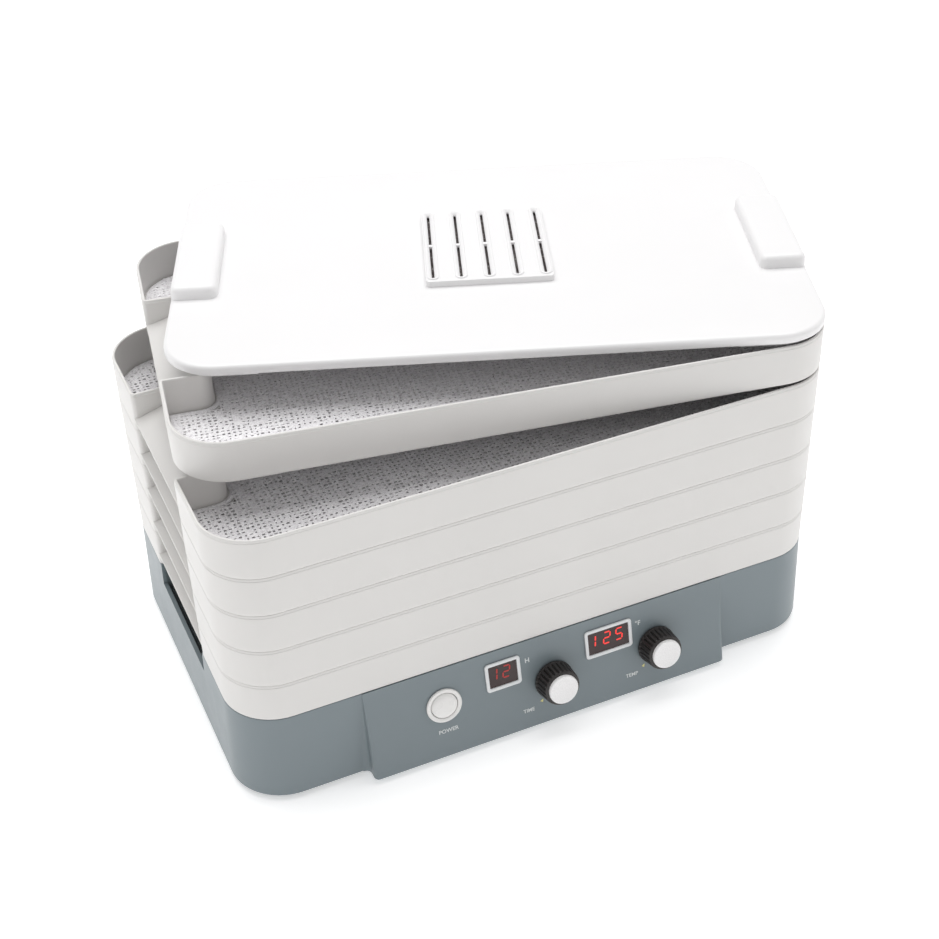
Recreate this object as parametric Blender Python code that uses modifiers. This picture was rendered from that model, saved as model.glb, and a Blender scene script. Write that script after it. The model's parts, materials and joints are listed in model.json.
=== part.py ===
"""Rectangular stacking food dehydrator: a blower base, six stacking trays and a vented lid.

Units are metres, +Z is up and the controls face -Y. Everything is modelled around the middle of the
closed stack's footprint; the last step shifts it all so that the origin is the bottom centre of the
whole object. The top tray and the lid stand swivelled about the stack's front right corner.
"""

import math

import bmesh
import bpy
from mathutils import Matrix, Vector

# ---------------------------------------------------------------- driving dimensions
WIDTH = 0.432  # long side of the stack, along X
DEPTH = 0.268  # short side of the stack, along Y
CORNER = 0.036  # plan radius of the corners
GAP = 0.0003  # clearance between touching pieces

FOOT_H = 0.004
BASE_H = 0.068  # base housing, from its bottom edge to the seam under the trays
BASE_WALL = 0.0025
FLARE = 0.002  # how far the base's bottom edge stands outside its top edge
DECK_Z = 0.062  # underside of the housing's deck
DECK_T = 0.0028
DUCT_R = 0.075  # round air opening in the deck

TRAYS = 6
PITCH = 0.029
TRAY_WALL = 0.0022
FLOOR_Z = 0.0005  # underside of a tray's floor, over the rim below
FLOOR_T = 0.0018
LIP_H = 0.0022  # nesting lip under each tray
LIP_T = 0.0015
LIP_INSET = 0.0034
LIP_START = 0.154  # the lips run from this X to the corners
HOLES_X, HOLES_Y = 7, 5  # lattice of the tray floor
FLOOR_BAR = 0.006
LINER_T = 0.001

NOTCH_DEPTH = 0.032  # hand recess in the middle of each short side
NOTCH_HALF = 0.051
NOTCH_MOUTH_R = 0.006
NOTCH_BACK_R = 0.008
LEDGE_INNER = 0.0195  # height of the sloping finger ledge at the recess's back wall
LEDGE_OUTER = 0.0095  # and at its outer edge
LEDGE_T = 0.0018
LEDGE_REACH = 0.060  # half length of the ledge before it is trimmed to the recess

LID_T = 0.0065
LID_SKIN = 0.0022
LID_EDGE_R = 0.0028
PAD_H = 0.009  # hand pads on the lid, over the recesses
PAD_HALF = 0.048
PAD_R = 0.004
VENT_HALF_X, VENT_HALF_Y = 0.0435, 0.0515
VENT_Y = 0.003  # the vent's middle, behind the lid's
VENT_RISE = 0.0045
SLOTS = 5
SLOT_PITCH = 0.0192
SLOT_W = 0.0046
SLOT_L = 0.096

SWIVEL_TRAY = 9.3  # degrees clockwise from above, about the front right corner's centre
SWIVEL_LID = 11.4  # degrees further than the tray that it rests on

PANEL_HALF = 0.134  # control panel, on the front of the base
PANEL_OUT = 0.0145  # how far its bottom edge stands out
PANEL_T = 0.0025
BOARD_FRONT = -0.0117  # the control board's front face, behind the panel's face
BOARD_T = 0.0016

FILTER_EDGE_Z = 0.055  # lower edge of the air intake in the base's short sides
POCKET_Z = 0.042  # bottom of the filter's pocket
POCKET_WALL = 0.0025
POCKET_FLOOR = POCKET_Z + 0.002
POCKET_LEDGE = 0.0035  # rim inside the pocket that carries the filter
FILTER_FRAME_H = 0.0036

COVER_T = 0.0025  # bottom cover
COVER_INSET = 0.003
SCREW_SPOTS = [(sx * 0.165, sy * 0.085) for sx in (-1, 1) for sy in (-1, 1)]
FOOT_SPOTS = [(sx * 0.178, sy * 0.103) for sx in (-1, 1) for sy in (-1, 1)]
POST_R = 0.0042
GLAND_X, GLAND_Z = 0.120, 0.024  # where the mains lead leaves the back wall
GLAND_BORE_R = 0.0062

FAN_LOW, FAN_HIGH = 0.036, 0.050
HUB_R, BLADE_R = 0.022, 0.066
BLADES, BLADE_PITCH = 7, 24
BLADE_T = 0.0016
SHROUD_R, SHROUD_T = 0.0725, 0.002
SHROUD_LOW = 0.030
ARM_Z, ARM_T = 0.0515, 0.0017  # the heater bracket's crossed arms
ARM_REACH = 0.0795
ELEMENT_R, ELEMENT_TUBE_R = 0.050, 0.0032
MOTOR_R, MOTOR_LOW, MOTOR_HIGH = 0.028, 0.0133, 0.0315
SHAFT_R = 0.0015
HOOPS = (0.025, 0.050)  # the guard grille's inner hoops

# Places on the control panel's face: X, and Y up the slope from its top edge
BUTTON_AT = (-0.0798, -0.0284)
TIME_DISPLAY_AT = (-0.0356, -0.0197)
TEMP_DISPLAY_AT = (0.0441, -0.0197)
TIME_KNOB_AT = (0.0004, -0.0362)
TEMP_KNOB_AT = (0.0798, -0.0360)
TIME_FRAME = (0.0258, 0.0216)
TEMP_FRAME = (0.0360, 0.0218)
FRAME_EDGE = 0.0024
BEZEL_R, BUTTON_R = 0.0126, 0.0093
KNOB_R, KNOB_H = 0.0141, 0.0150
KNOB_TAPER = 0.10
CAP_R, CAP_H = 0.0106, 0.0022
STEM_R = 0.0034

BASE_TOP = FOOT_H + BASE_H
COVER_TOP = FOOT_H + COVER_T
TILT = math.atan2(PANEL_OUT, BASE_H)
NOTCH_X = WIDTH / 2 - NOTCH_DEPTH
PIVOT = Vector((WIDTH / 2 - CORNER, -DEPTH / 2 + CORNER, 0))
RIDE = LIP_H + GAP  # a swivelled tray or lid rides this much higher, on its lips

# Planes in which flat outlines are drawn: local X, Y and thickness axis, as world directions
PLAN = Matrix.Identity(4)
SIDE = Matrix(((0, 0, 1, 0), (1, 0, 0, 0), (0, 1, 0, 0), (0, 0, 0, 1)))  # outline in YZ, thick along X
FRONT = Matrix(((1, 0, 0, 0), (0, 0, -1, 0), (0, 1, 0, 0), (0, 0, 0, 1)))  # outline in XZ

FINISHES = {  # colour, roughness, metallic
    "tray_white": ((0.80, 0.79, 0.77), 0.45, 0.0),
    "liner_white": ((0.86, 0.86, 0.85), 0.55, 0.0),
    "lid_white": ((0.90, 0.90, 0.89), 0.22, 0.0),
    "base_grey": ((0.19, 0.23, 0.25), 0.42, 0.0),
    "knob_black": ((0.03, 0.026, 0.026), 0.45, 0.0),
    "cap_white": ((0.84, 0.83, 0.82), 0.3, 0.0),
    "bezel_grey": ((0.68, 0.69, 0.70), 0.35, 0.0),
    "window_red": ((0.06, 0.035, 0.035), 0.12, 0.0),
    "led_black": ((0.03, 0.02, 0.02), 0.5, 0.0),
    "filter_black": ((0.025, 0.03, 0.032), 0.9, 0.0),
    "board_green": ((0.03, 0.16, 0.08), 0.5, 0.0),
    "steel": ((0.62, 0.62, 0.62), 0.35, 1.0),
    "motor_dark": ((0.20, 0.20, 0.21), 0.45, 0.8),
    "element_metal": ((0.35, 0.33, 0.31), 0.5, 0.9),
    "fan_plastic": ((0.10, 0.10, 0.11), 0.5, 0.0),
    "rubber_dark": ((0.05, 0.05, 0.05), 0.85, 0.0),
}


# ---------------------------------------------------------------- scene and collections
def clear_scene():
    for ob in list(bpy.data.objects):
        bpy.data.objects.remove(ob, do_unlink=True)


clear_scene()
PARTS = bpy.data.collections.new("food_dehydrator")
CUTTERS = bpy.data.collections.new("cutters")
for collection in (PARTS, CUTTERS):
    bpy.context.scene.collection.children.link(collection)


def finish(name):
    """The material of that name, made once from its colour, roughness and metallic value."""
    if name in bpy.data.materials:
        return bpy.data.materials[name]
    color, roughness, metallic = FINISHES[name]
    mat = bpy.data.materials.new(name)
    mat.use_nodes = True
    shader = mat.node_tree.nodes["Principled BSDF"]
    shader.inputs["Base Color"].default_value = (*color, 1)
    shader.inputs["Roughness"].default_value = roughness
    shader.inputs["Metallic"].default_value = metallic
    mat.diffuse_color = (*color, 1)
    return mat


def empty(name, parent=None, matrix=Matrix.Identity(4)):
    ob = bpy.data.objects.new(name, None)
    PARTS.objects.link(ob)
    ob.parent = parent
    ob.matrix_basis = matrix
    return ob


# ---------------------------------------------------------------- outlines
def fillet(points, radii, steps):
    """A closed outline whose corners are rounded by their radii, each in so many steps."""
    outline = []
    for i, (corner, radius, segments) in enumerate(zip(points, radii, steps)):
        corner = Vector(corner)
        before = (Vector(points[i - 1]) - corner).normalized()
        after = (Vector(points[(i + 1) % len(points)]) - corner).normalized()
        if radius <= 0:
            outline.append(corner)
            continue
        half = before.angle(after) / 2
        centre = corner + (before + after).normalized() * (radius / math.sin(half))
        first = corner + before * (radius / math.tan(half)) - centre
        last = corner + after * (radius / math.tan(half)) - centre
        start = math.atan2(first.y, first.x)
        turn = (math.atan2(last.y, last.x) - start + math.pi) % math.tau - math.pi
        for k in range(segments + 1):
            angle = start + turn * k / segments
            outline.append(centre + radius * Vector((math.cos(angle), math.sin(angle))))
    return outline


def rectangle(width, depth, radius=0.0, segments=4, centre=(0, 0)):
    x, y = centre
    a, b = width / 2, depth / 2
    corners = [(x + a, y - b), (x + a, y + b), (x - a, y + b), (x - a, y - b)]
    return fillet(corners, [radius] * 4, [segments] * 4)


def circle(radius, segments=24, centre=(0, 0)):
    turns = (math.tau * k / segments for k in range(segments))
    return [Vector((centre[0] + radius * math.cos(t), centre[1] + radius * math.sin(t))) for t in turns]


def tray_outline(inset):
    """The tray's plan, with a hand recess in each short side, moved inwards by inset."""
    x, y = WIDTH / 2 - inset, DEPTH / 2 - inset
    notch_x, notch_y = NOTCH_X - inset, NOTCH_HALF + inset
    quarter = [((x, -y), CORNER - inset, 4),
               ((x, -notch_y), max(NOTCH_MOUTH_R - inset, 0.001), 1),
               ((notch_x, -notch_y), NOTCH_BACK_R + inset, 1)]
    half = quarter + [((px, -py), radius, steps) for (px, py), radius, steps in reversed(quarter)]
    whole = half + [((-px, -py), radius, steps) for (px, py), radius, steps in half]
    return fillet(*zip(*whole))


# ---------------------------------------------------------------- solids
def mesh_of(ob, frame=PLAN):
    """The object's evaluated mesh with its loose caps welded; the object itself is removed."""
    bpy.context.view_layer.update()
    evaluated = ob.evaluated_get(bpy.context.evaluated_depsgraph_get())
    mesh = bpy.data.meshes.new_from_object(evaluated)
    mesh.transform(frame @ ob.matrix_world)
    bpy.data.objects.remove(ob, do_unlink=True)
    bm = bmesh.new()
    bm.from_mesh(mesh)
    bmesh.ops.remove_doubles(bm, verts=bm.verts, dist=1e-6)
    bmesh.ops.dissolve_limit(bm, angle_limit=math.radians(0.05), verts=bm.verts, edges=bm.edges)
    bmesh.ops.recalc_face_normals(bm, faces=bm.faces)
    bm.to_mesh(mesh)
    bm.free()
    return mesh


def body(name, mesh, material=None, parent=None, round_angle=None):
    """An object for a part, or for a cutter when it has no material."""
    ob = bpy.data.objects.new(name, mesh)
    ob.parent = parent
    if material is None:
        CUTTERS.objects.link(ob)
        ob.hide_render = True
        ob.display_type = "WIRE"
        return ob
    PARTS.objects.link(ob)
    ob.data.materials.clear()
    ob.data.materials.append(finish(material))
    if round_angle:
        ob.data.shade_smooth()
        ob.data.set_sharp_from_angle(angle=math.radians(round_angle))
    return ob


def plate(outlines, low, high, frame=PLAN):
    """A mesh from a flat outline, and the outlines of its holes, with thickness from low to high."""
    curve = bpy.data.curves.new("outline", "CURVE")
    curve.dimensions = "2D"
    curve.fill_mode = "BOTH"
    curve.extrude = (high - low) / 2
    for outline in outlines:
        spline = curve.splines.new("POLY")
        spline.points.add(len(outline) - 1)
        for point, (x, y) in zip(spline.points, outline):
            point.co = (x, y, 0, 1)
        spline.use_cyclic_u = True
    ob = bpy.data.objects.new("outline", curve)
    bpy.context.scene.collection.objects.link(ob)
    return mesh_of(ob, frame @ Matrix.Translation((0, 0, (low + high) / 2)))


def block(low, high):
    """A box mesh between two corners."""
    size = [h - l for l, h in zip(low, high)]
    middle = [(h + l) / 2 for l, h in zip(low, high)]
    bm = bmesh.new()
    bmesh.ops.create_cube(bm, size=1, matrix=Matrix.LocRotScale(middle, None, size))
    return to_mesh(bm)


def rod(radius, low, high, centre=(0, 0), segments=16):
    """An upright cylinder mesh."""
    bm = bmesh.new()
    at = Matrix.Translation((*centre, (low + high) / 2))
    bmesh.ops.create_cone(bm, cap_ends=True, segments=segments, radius1=radius, radius2=radius,
                          depth=high - low, matrix=at)
    return to_mesh(bm)


def ring(major, minor, z, around=24, across=6):
    bpy.ops.mesh.primitive_torus_add(major_radius=major, minor_radius=minor, major_segments=around,
                                     minor_segments=across, location=(0, 0, z))
    return mesh_of(bpy.context.active_object)


def turned(profile, segments=24):
    """A closed profile of (radius, height), outer side first and top to bottom, turned about Z."""
    mesh = bpy.data.meshes.new("profile")
    edges = [(i, i + 1) for i in range(len(profile) - 1)]
    mesh.from_pydata([(r, 0, z) for r, z in profile], edges, [])
    ob = bpy.data.objects.new("profile", mesh)
    bpy.context.scene.collection.objects.link(ob)
    screw = ob.modifiers.new("turn", "SCREW")
    screw.steps = screw.render_steps = segments
    screw.use_merge_vertices = True
    screw.merge_threshold = 1e-6
    return mesh_of(ob)


def to_mesh(bm):
    mesh = bpy.data.meshes.new("solid")
    bm.to_mesh(mesh)
    bm.free()
    return mesh


def moved(mesh, offset=(0, 0, 0), frame=PLAN):
    copy = mesh.copy()
    copy.transform(frame @ Matrix.Translation(offset))
    return copy


def merged(meshes):
    """Several separate solids in one mesh, to be used as one cutter or one addition."""
    bm = bmesh.new()
    for mesh in meshes:
        bm.from_mesh(mesh)
    return to_mesh(bm)


def combine(ob, mesh, operation, label):
    """A live Boolean of another mesh on the part."""
    operand = body(f"{ob.name}_{label}", mesh, parent=ob.parent)
    operand.matrix_basis = ob.matrix_basis
    modifier = ob.modifiers.new(label, "BOOLEAN")
    modifier.operation = operation
    modifier.solver = "EXACT"
    modifier.object = operand
    return ob


def cut(ob, mesh, label):
    return combine(ob, mesh, "DIFFERENCE", label)


def add(ob, mesh, label):
    return combine(ob, mesh, "UNION", label)


def applied(ob):
    """The part's mesh with its Booleans applied; the part and its operands are removed."""
    operands = [m.object for m in ob.modifiers if m.type == "BOOLEAN"]
    mesh = mesh_of(ob)
    for operand in operands:
        bpy.data.objects.remove(operand, do_unlink=True)
    return mesh


def softened(mesh, width, segments=2, angle=40, keep=None):
    """A mesh with its sharp edges rounded; keep(edge midpoint) limits which edges."""
    bm = bmesh.new()
    bm.from_mesh(mesh)
    sharp = [e for e in bm.edges if len(e.link_faces) == 2 and e.calc_face_angle() > math.radians(angle)
             and (keep is None or keep(e.verts[0].co, e.verts[1].co))]
    bmesh.ops.bevel(bm, geom=sharp, offset=width, segments=segments, profile=0.5, affect="EDGES")
    bmesh.ops.recalc_face_normals(bm, faces=bm.faces)
    return to_mesh(bm)


# ---------------------------------------------------------------- trays and their liners
def lattice_cutters():
    """Blocks that cut the lattice of the tray floor, between the recesses and inside the lips."""
    span_x, span_y = 2 * (NOTCH_X - 0.012), DEPTH - 2 * 0.012
    step_x, step_y = span_x / HOLES_X, span_y / HOLES_Y
    half_x, half_y = (step_x - FLOOR_BAR) / 2, (step_y - FLOOR_BAR) / 2
    cutters = []
    for i in range(HOLES_X):
        for j in range(HOLES_Y):
            x, y = (i + 0.5) * step_x - span_x / 2, (j + 0.5) * step_y - span_y / 2
            cutters.append(block((x - half_x, y - half_y, -0.01), (x + half_x, y + half_y, 0.01)))
    return cutters


def finger_ledge(side):
    """The sloping ledge across one hand recess, running into the recess's walls."""
    inner, outer = NOTCH_X - TRAY_WALL / 2, WIDTH / 2 - 0.0002
    profile = [(inner, LEDGE_INNER - LEDGE_T), (outer, LEDGE_OUTER - LEDGE_T),
               (outer, LEDGE_OUTER), (inner, LEDGE_INNER)]
    profile = [(side * x, z) for x, z in profile]
    slab = body("ledge", plate([profile], -LEDGE_REACH, LEDGE_REACH, FRONT), "tray_white")
    cut(slab, plate([tray_outline(TRAY_WALL / 2)], -0.01, PITCH + 0.01), "core")
    return applied(slab)


def corner_lips(low, high):
    """The nesting lips: a low ring inside the wall line, kept only near the four corners."""
    lips = body("lips", plate([tray_outline(LIP_INSET), tray_outline(LIP_INSET + LIP_T)], low, high),
                "tray_white")
    middle = block((-LIP_START, -DEPTH, -0.02), (LIP_START, DEPTH, 0.02))
    recess = block((-WIDTH, -NOTCH_HALF - 0.012, -0.021), (WIDTH, NOTCH_HALF + 0.012, 0.021))
    cut(lips, middle, "middle")
    cut(lips, recess, "recess")
    return applied(lips)


def tray_mesh():
    """One tray, standing on the plane z = 0 of the rim below it."""
    walls = plate([tray_outline(0), tray_outline(TRAY_WALL)], GAP, PITCH)
    tray = body("tray", walls, "tray_white")
    add(tray, plate([tray_outline(TRAY_WALL / 2)], FLOOR_Z, FLOOR_Z + FLOOR_T), "floor")
    cut(tray, merged(lattice_cutters()), "lattice")
    for side in (-1, 1):
        add(tray, finger_ledge(side), f"ledge_{'left' if side < 0 else 'right'}")
    add(tray, corner_lips(-LIP_H, GAP + 0.001), "lips")
    return applied(tray)


def build_trays(root):
    """tray_1 is the top one. It and the lid stand swivelled; the others are stacked square."""
    tray = tray_mesh()
    liner = plate([tray_outline(TRAY_WALL + 0.0012)], 0, LINER_T)
    liner_z = FLOOR_Z + FLOOR_T + GAP
    turn = Matrix.Rotation(-math.radians(SWIVEL_TRAY), 4, "Z")
    swivel = empty("tray_1_swivel", root, Matrix.Translation(PIVOT) @ turn)
    for number in range(1, TRAYS + 1):
        level = BASE_TOP + (TRAYS - number) * PITCH
        parent, shift = (swivel, -PIVOT) if number == 1 else (root, Vector())
        lift = RIDE if number == 1 else 0
        pieces = ((f"tray_{number}", tray, "tray_white", 0),
                  (f"liner_{number}", liner, "liner_white", liner_z))
        for name, mesh, material, height in pieces:
            ob = body(name, mesh, material, parent)
            ob.location = shift + Vector((0, 0, level + lift + height))
    return swivel


# ---------------------------------------------------------------- lid
def build_lid(tray_swivel):
    """Thin-walled lid with two hand pads, a raised vent grille and its mesh."""
    swivel = empty("lid_swivel", tray_swivel, Matrix.Rotation(-math.radians(SWIVEL_LID), 4, "Z"))
    place = Matrix.Translation(-PIVOT + Vector((0, 0, BASE_TOP + TRAYS * PITCH + 2 * RIDE)))
    top = GAP + LID_T

    shell = plate([rectangle(WIDTH, DEPTH, CORNER, 5)], GAP, top)
    shell = softened(shell, LID_EDGE_R, 2, keep=lambda a, b: min(a.z, b.z) > top - 1e-5)
    lid = body("lid", shell, "lid_white", swivel, 35)
    lid.matrix_basis = place
    for side in (-1, 1):
        label = "left" if side < 0 else "right"
        middle = side * (WIDTH / 2 + NOTCH_X) / 2
        pad = plate([rectangle(NOTCH_DEPTH - 0.0004, 2 * PAD_HALF, 0.005, 3, (middle, 0))],
                    top - 0.001, top + PAD_H)
        pad = softened(pad, PAD_R, 2, keep=lambda a, b: min(a.z, b.z) > top + PAD_H - 1e-5)
        add(lid, pad, f"pad_{label}")
    cut(lid, plate([rectangle(WIDTH - 2 * LID_SKIN, DEPTH - 2 * LID_SKIN, CORNER - LID_SKIN, 5)],
                   -0.01, top - LID_SKIN), "underside")
    hollow = [plate([rectangle(NOTCH_DEPTH - 2 * LID_SKIN - 0.0012, 2 * (PAD_HALF - LID_SKIN), 0.003, 2,
                               (side * ((WIDTH / 2 + NOTCH_X) / 2 - 0.0003), 0))],
                    0, top + PAD_H - LID_SKIN) for side in (-1, 1)]
    cut(lid, merged(hollow), "pad_hollows")
    cut(lid, plate([vent_outline(0.0010)], 0, 0.03), "vent_hole")
    add(lid, lid_lips(), "lips")
    build_vent(swivel, place, top)


def vent_outline(inset):
    """The vent grille's plan, moved inwards by inset."""
    return rectangle(2 * (VENT_HALF_X - inset), 2 * (VENT_HALF_Y - inset), 0.003 - inset, 2, (0, VENT_Y))


def build_vent(swivel, place, top):
    """The slotted grille that plugs into the lid, and the mesh held inside it."""
    outer, collar, bore = vent_outline(0), vent_outline(0.0014), vent_outline(0.0025)
    slots = [rectangle(SLOT_W, SLOT_L, SLOT_W / 2 - 1e-5, 2, ((k - (SLOTS - 1) / 2) * SLOT_PITCH, VENT_Y))
             for k in range(SLOTS)]
    face = plate([outer] + slots, top + VENT_RISE - 0.002, top + VENT_RISE)
    face = softened(face, 0.0008, 1, 40, keep=lambda a, b: min(a.z, b.z) > top + VENT_RISE - 1e-5
                    and max(abs(a.x), abs(b.x)) > VENT_HALF_X - 0.0035)
    grille = body("vent_grille", face, "lid_white", swivel, 35)
    grille.matrix_basis = place
    add(grille, plate([outer, bore], top + GAP, top + VENT_RISE - 0.001), "skirt")
    add(grille, plate([collar, bore], top - LID_SKIN - 0.001, top + 0.002), "collar")

    mesh = body("vent_mesh", plate([vent_outline(0.0028)], top, top + 0.0008), "filter_black", swivel)
    mesh.matrix_basis = place


def lid_lips():
    """The lid's corner lips, which reach down inside the top tray's wall."""
    inset = LIP_INSET
    outer = rectangle(WIDTH - 2 * inset, DEPTH - 2 * inset, CORNER - inset, 4)
    inset += LIP_T
    inner = rectangle(WIDTH - 2 * inset, DEPTH - 2 * inset, CORNER - inset, 4)
    lips = body("lid_lips", plate([outer, inner], -LIP_H, LID_T - 0.001), "lid_white")
    cut(lips, block((-LIP_START, -DEPTH, -0.02), (LIP_START, DEPTH, 0.02)), "middle")
    cut(lips, block((-WIDTH, -NOTCH_HALF - 0.012, -0.021), (WIDTH, NOTCH_HALF + 0.012, 0.021)), "recess")
    return applied(lips)


# ---------------------------------------------------------------- base housing
def flared(mesh):
    """Moves the lower part of an upright wall outwards, by FLARE at the base's bottom edge."""
    for vertex in mesh.vertices:
        drop = (BASE_TOP - vertex.co.z) / BASE_H
        vertex.co.x *= 1 + drop * 2 * FLARE / WIDTH
        vertex.co.y *= 1 + drop * 2 * FLARE / DEPTH
    return mesh


def build_housing(root):
    """The base's outer shell: walls, deck with a round duct, filter pockets and screw posts."""
    outer = rectangle(WIDTH, DEPTH, CORNER, 5)
    inner = rectangle(WIDTH - 2 * BASE_WALL, DEPTH - 2 * BASE_WALL, CORNER - BASE_WALL, 5)
    housing = body("base_housing", flared(plate([outer, inner], FOOT_H, BASE_TOP)), "base_grey", root)
    deck = rectangle(WIDTH - BASE_WALL, DEPTH - BASE_WALL, CORNER - BASE_WALL / 2, 5)
    add(housing, plate([deck, circle(DUCT_R, 32)], DECK_Z, DECK_Z + DECK_T), "deck")
    cut_pockets(housing)

    front = -DEPTH / 2
    seat = block((-PANEL_HALF - GAP, front - 0.02, 0), (PANEL_HALF + GAP, front + 0.0028, 0.1))
    cut(housing, seat, "panel_opening")
    posts = [rod(POST_R, COVER_TOP + 2 * GAP, DECK_Z + 0.001, spot, 12) for spot in SCREW_SPOTS]
    add(housing, merged(posts), "screw_posts")
    bores = [rod(0.0018, 0, 0.024, spot, 10) for spot in SCREW_SPOTS]
    cut(housing, merged(bores), "screw_bores")
    through_wall = Matrix.Translation((GLAND_X, DEPTH / 2, GLAND_Z)) @ Matrix.Rotation(math.pi / 2, 4, "X")
    cut(housing, moved(rod(GLAND_BORE_R, -0.02, 0.02), frame=through_wall), "cord_bore")


def side_block(side, near, far, half_length, low, high):
    """A box in one short side of the base, between two distances from the middle."""
    x_low, x_high = sorted((side * near, side * far))
    return block((x_low, -half_length, low), (x_high, half_length, high))


def cut_pockets(housing):
    """In each short side: a pocket for the filter, open above through the intake notch."""
    wall_x = WIDTH / 2 - BASE_WALL
    sides = (-1, 1)
    pockets = [side_block(side, NOTCH_X - POCKET_WALL, wall_x + BASE_WALL / 2 + 0.0005,
                          NOTCH_HALF + POCKET_WALL, POCKET_Z, BASE_TOP) for side in sides]
    hollows = [side_block(side, NOTCH_X, wall_x, NOTCH_HALF, POCKET_FLOOR, 0.09) for side in sides]
    seats = [side_block(side, NOTCH_X + POCKET_LEDGE, wall_x - POCKET_LEDGE, NOTCH_HALF - POCKET_LEDGE,
                        0.03, 0.05) for side in sides]
    notches = [side_block(side, NOTCH_X + 0.001, wall_x + 0.02, NOTCH_HALF - 0.0005, FILTER_EDGE_Z, 0.091)
               for side in sides]
    add(housing, merged(pockets), "pockets")
    cut(housing, merged(hollows), "pocket_hollows")
    cut(housing, merged(seats), "pocket_seats")
    cut(housing, merged(notches), "intake_notches")


def build_bottom(root):
    """Bottom cover with its feet and screws."""
    outline = rectangle(WIDTH - 2 * COVER_INSET, DEPTH - 2 * COVER_INSET, CORNER - COVER_INSET, 5)
    holes = [circle(0.0019, 10, spot) for spot in SCREW_SPOTS]
    holes += [circle(0.0031, 12, spot) for spot in FOOT_SPOTS]
    body("bottom_cover", plate([outline] + holes, FOOT_H, COVER_TOP), "base_grey", root)
    screw = turned([(0, 0.0225), (0.0015, 0.0225), (0.0015, 0.0037), (0.0034, 0.0037), (0.0034, 0.0018),
                    (0, 0.0018)], 10)
    foot = turned([(0, FOOT_H + 0.006), (0.0028, FOOT_H + 0.006), (0.0028, FOOT_H - GAP),
                   (0.0085, FOOT_H - GAP), (0.0095, 0.0005), (0.009, 0), (0, 0)], 12)
    for kind, mesh, material, spots in (("cover_screw", screw, "steel", SCREW_SPOTS),
                                        ("foot", foot, "rubber_dark", FOOT_SPOTS)):
        for number, (x, y) in enumerate(spots, 1):
            ob = body(f"{kind}_{number}", mesh, material, root, 35)
            ob.location = (x, y, 0)


def build_filters(root):
    """A removable filter in the pocket behind each side's intake: a frame and a dark pad."""
    width = NOTCH_DEPTH - BASE_WALL - 0.001
    length = 2 * NOTCH_HALF - 0.001
    low = POCKET_FLOOR + GAP
    frame_top = low + FILTER_FRAME_H
    bays = [rectangle(width - 0.005, (length - 0.014) / 3, 0.0005, 1, (0, k * (length - 0.002) / 3))
            for k in (-1, 0, 1)]
    frame = plate([rectangle(width, length, 0.001, 1)] + bays, low, frame_top)
    pad = plate([rectangle(width - 0.002, length - 0.002, 0.001, 1)], frame_top + GAP,
                frame_top + FILTER_FRAME_H)
    for side, label in ((-1, "left"), (1, "right")):
        for name, mesh in (("filter_frame", frame), ("filter_pad", pad)):
            ob = body(f"{label}_{name}", mesh, "filter_black", root)
            ob.location.x = side * (NOTCH_X + WIDTH / 2 - BASE_WALL) / 2


def build_gland(root):
    """The bush in the back wall that the mains lead comes out of."""
    bush = turned([(0.0092, 0.004), (0.0092, 0.0015), (0.0058, 0.0015), (0.0058, -0.0065), (0.0040, -0.0065),
                   (0.0040, 0.004), (0.0092, 0.004)], 16)
    gland = body("cord_gland", bush, "rubber_dark", root, 35)
    slope = 2 * FLARE / DEPTH * (BASE_TOP - GLAND_Z) / BASE_H
    gland.location = (GLAND_X, DEPTH / 2 * (1 + slope) - 0.0008, GLAND_Z)
    gland.rotation_euler.x = -math.pi / 2


# ---------------------------------------------------------------- blower and heater
def fan_mesh():
    """Axial impeller: a cup-shaped hub, with pitched blades running into it."""
    wall, roof, boss_r, boss_low = 0.002, FAN_HIGH - 0.003, 0.0046, FAN_LOW + 0.001
    bore_r = SHAFT_R + 0.0007
    hub = turned([(0, FAN_HIGH), (HUB_R - 0.001, FAN_HIGH), (HUB_R, FAN_HIGH - 0.001), (HUB_R, FAN_LOW),
                  (HUB_R - wall, FAN_LOW), (HUB_R - wall, roof), (boss_r, roof), (boss_r, boss_low),
                  (bore_r, boss_low), (bore_r, roof), (0, roof)], 24)
    impeller = body("fan_impeller", hub, "fan_plastic", None, 35)
    root_r = HUB_R - 0.0012
    outline = fillet([(root_r, -0.011), (BLADE_R, -0.015), (BLADE_R, 0.015), (root_r, 0.011)],
                     [0, 0.004, 0.006, 0], [0, 2, 2, 0])
    pitch = Matrix.Rotation(math.radians(BLADE_PITCH), 4, "X")
    lift = Matrix.Translation((0, 0, (FAN_LOW + FAN_HIGH) / 2))
    for k in range(BLADES):
        spin = Matrix.Rotation(math.tau * k / BLADES, 4, "Z")
        blade = moved(plate([outline], -BLADE_T / 2, BLADE_T / 2), frame=spin @ lift @ pitch)
        add(impeller, blade, f"blade_{k + 1}")
    return applied(impeller)


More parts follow.
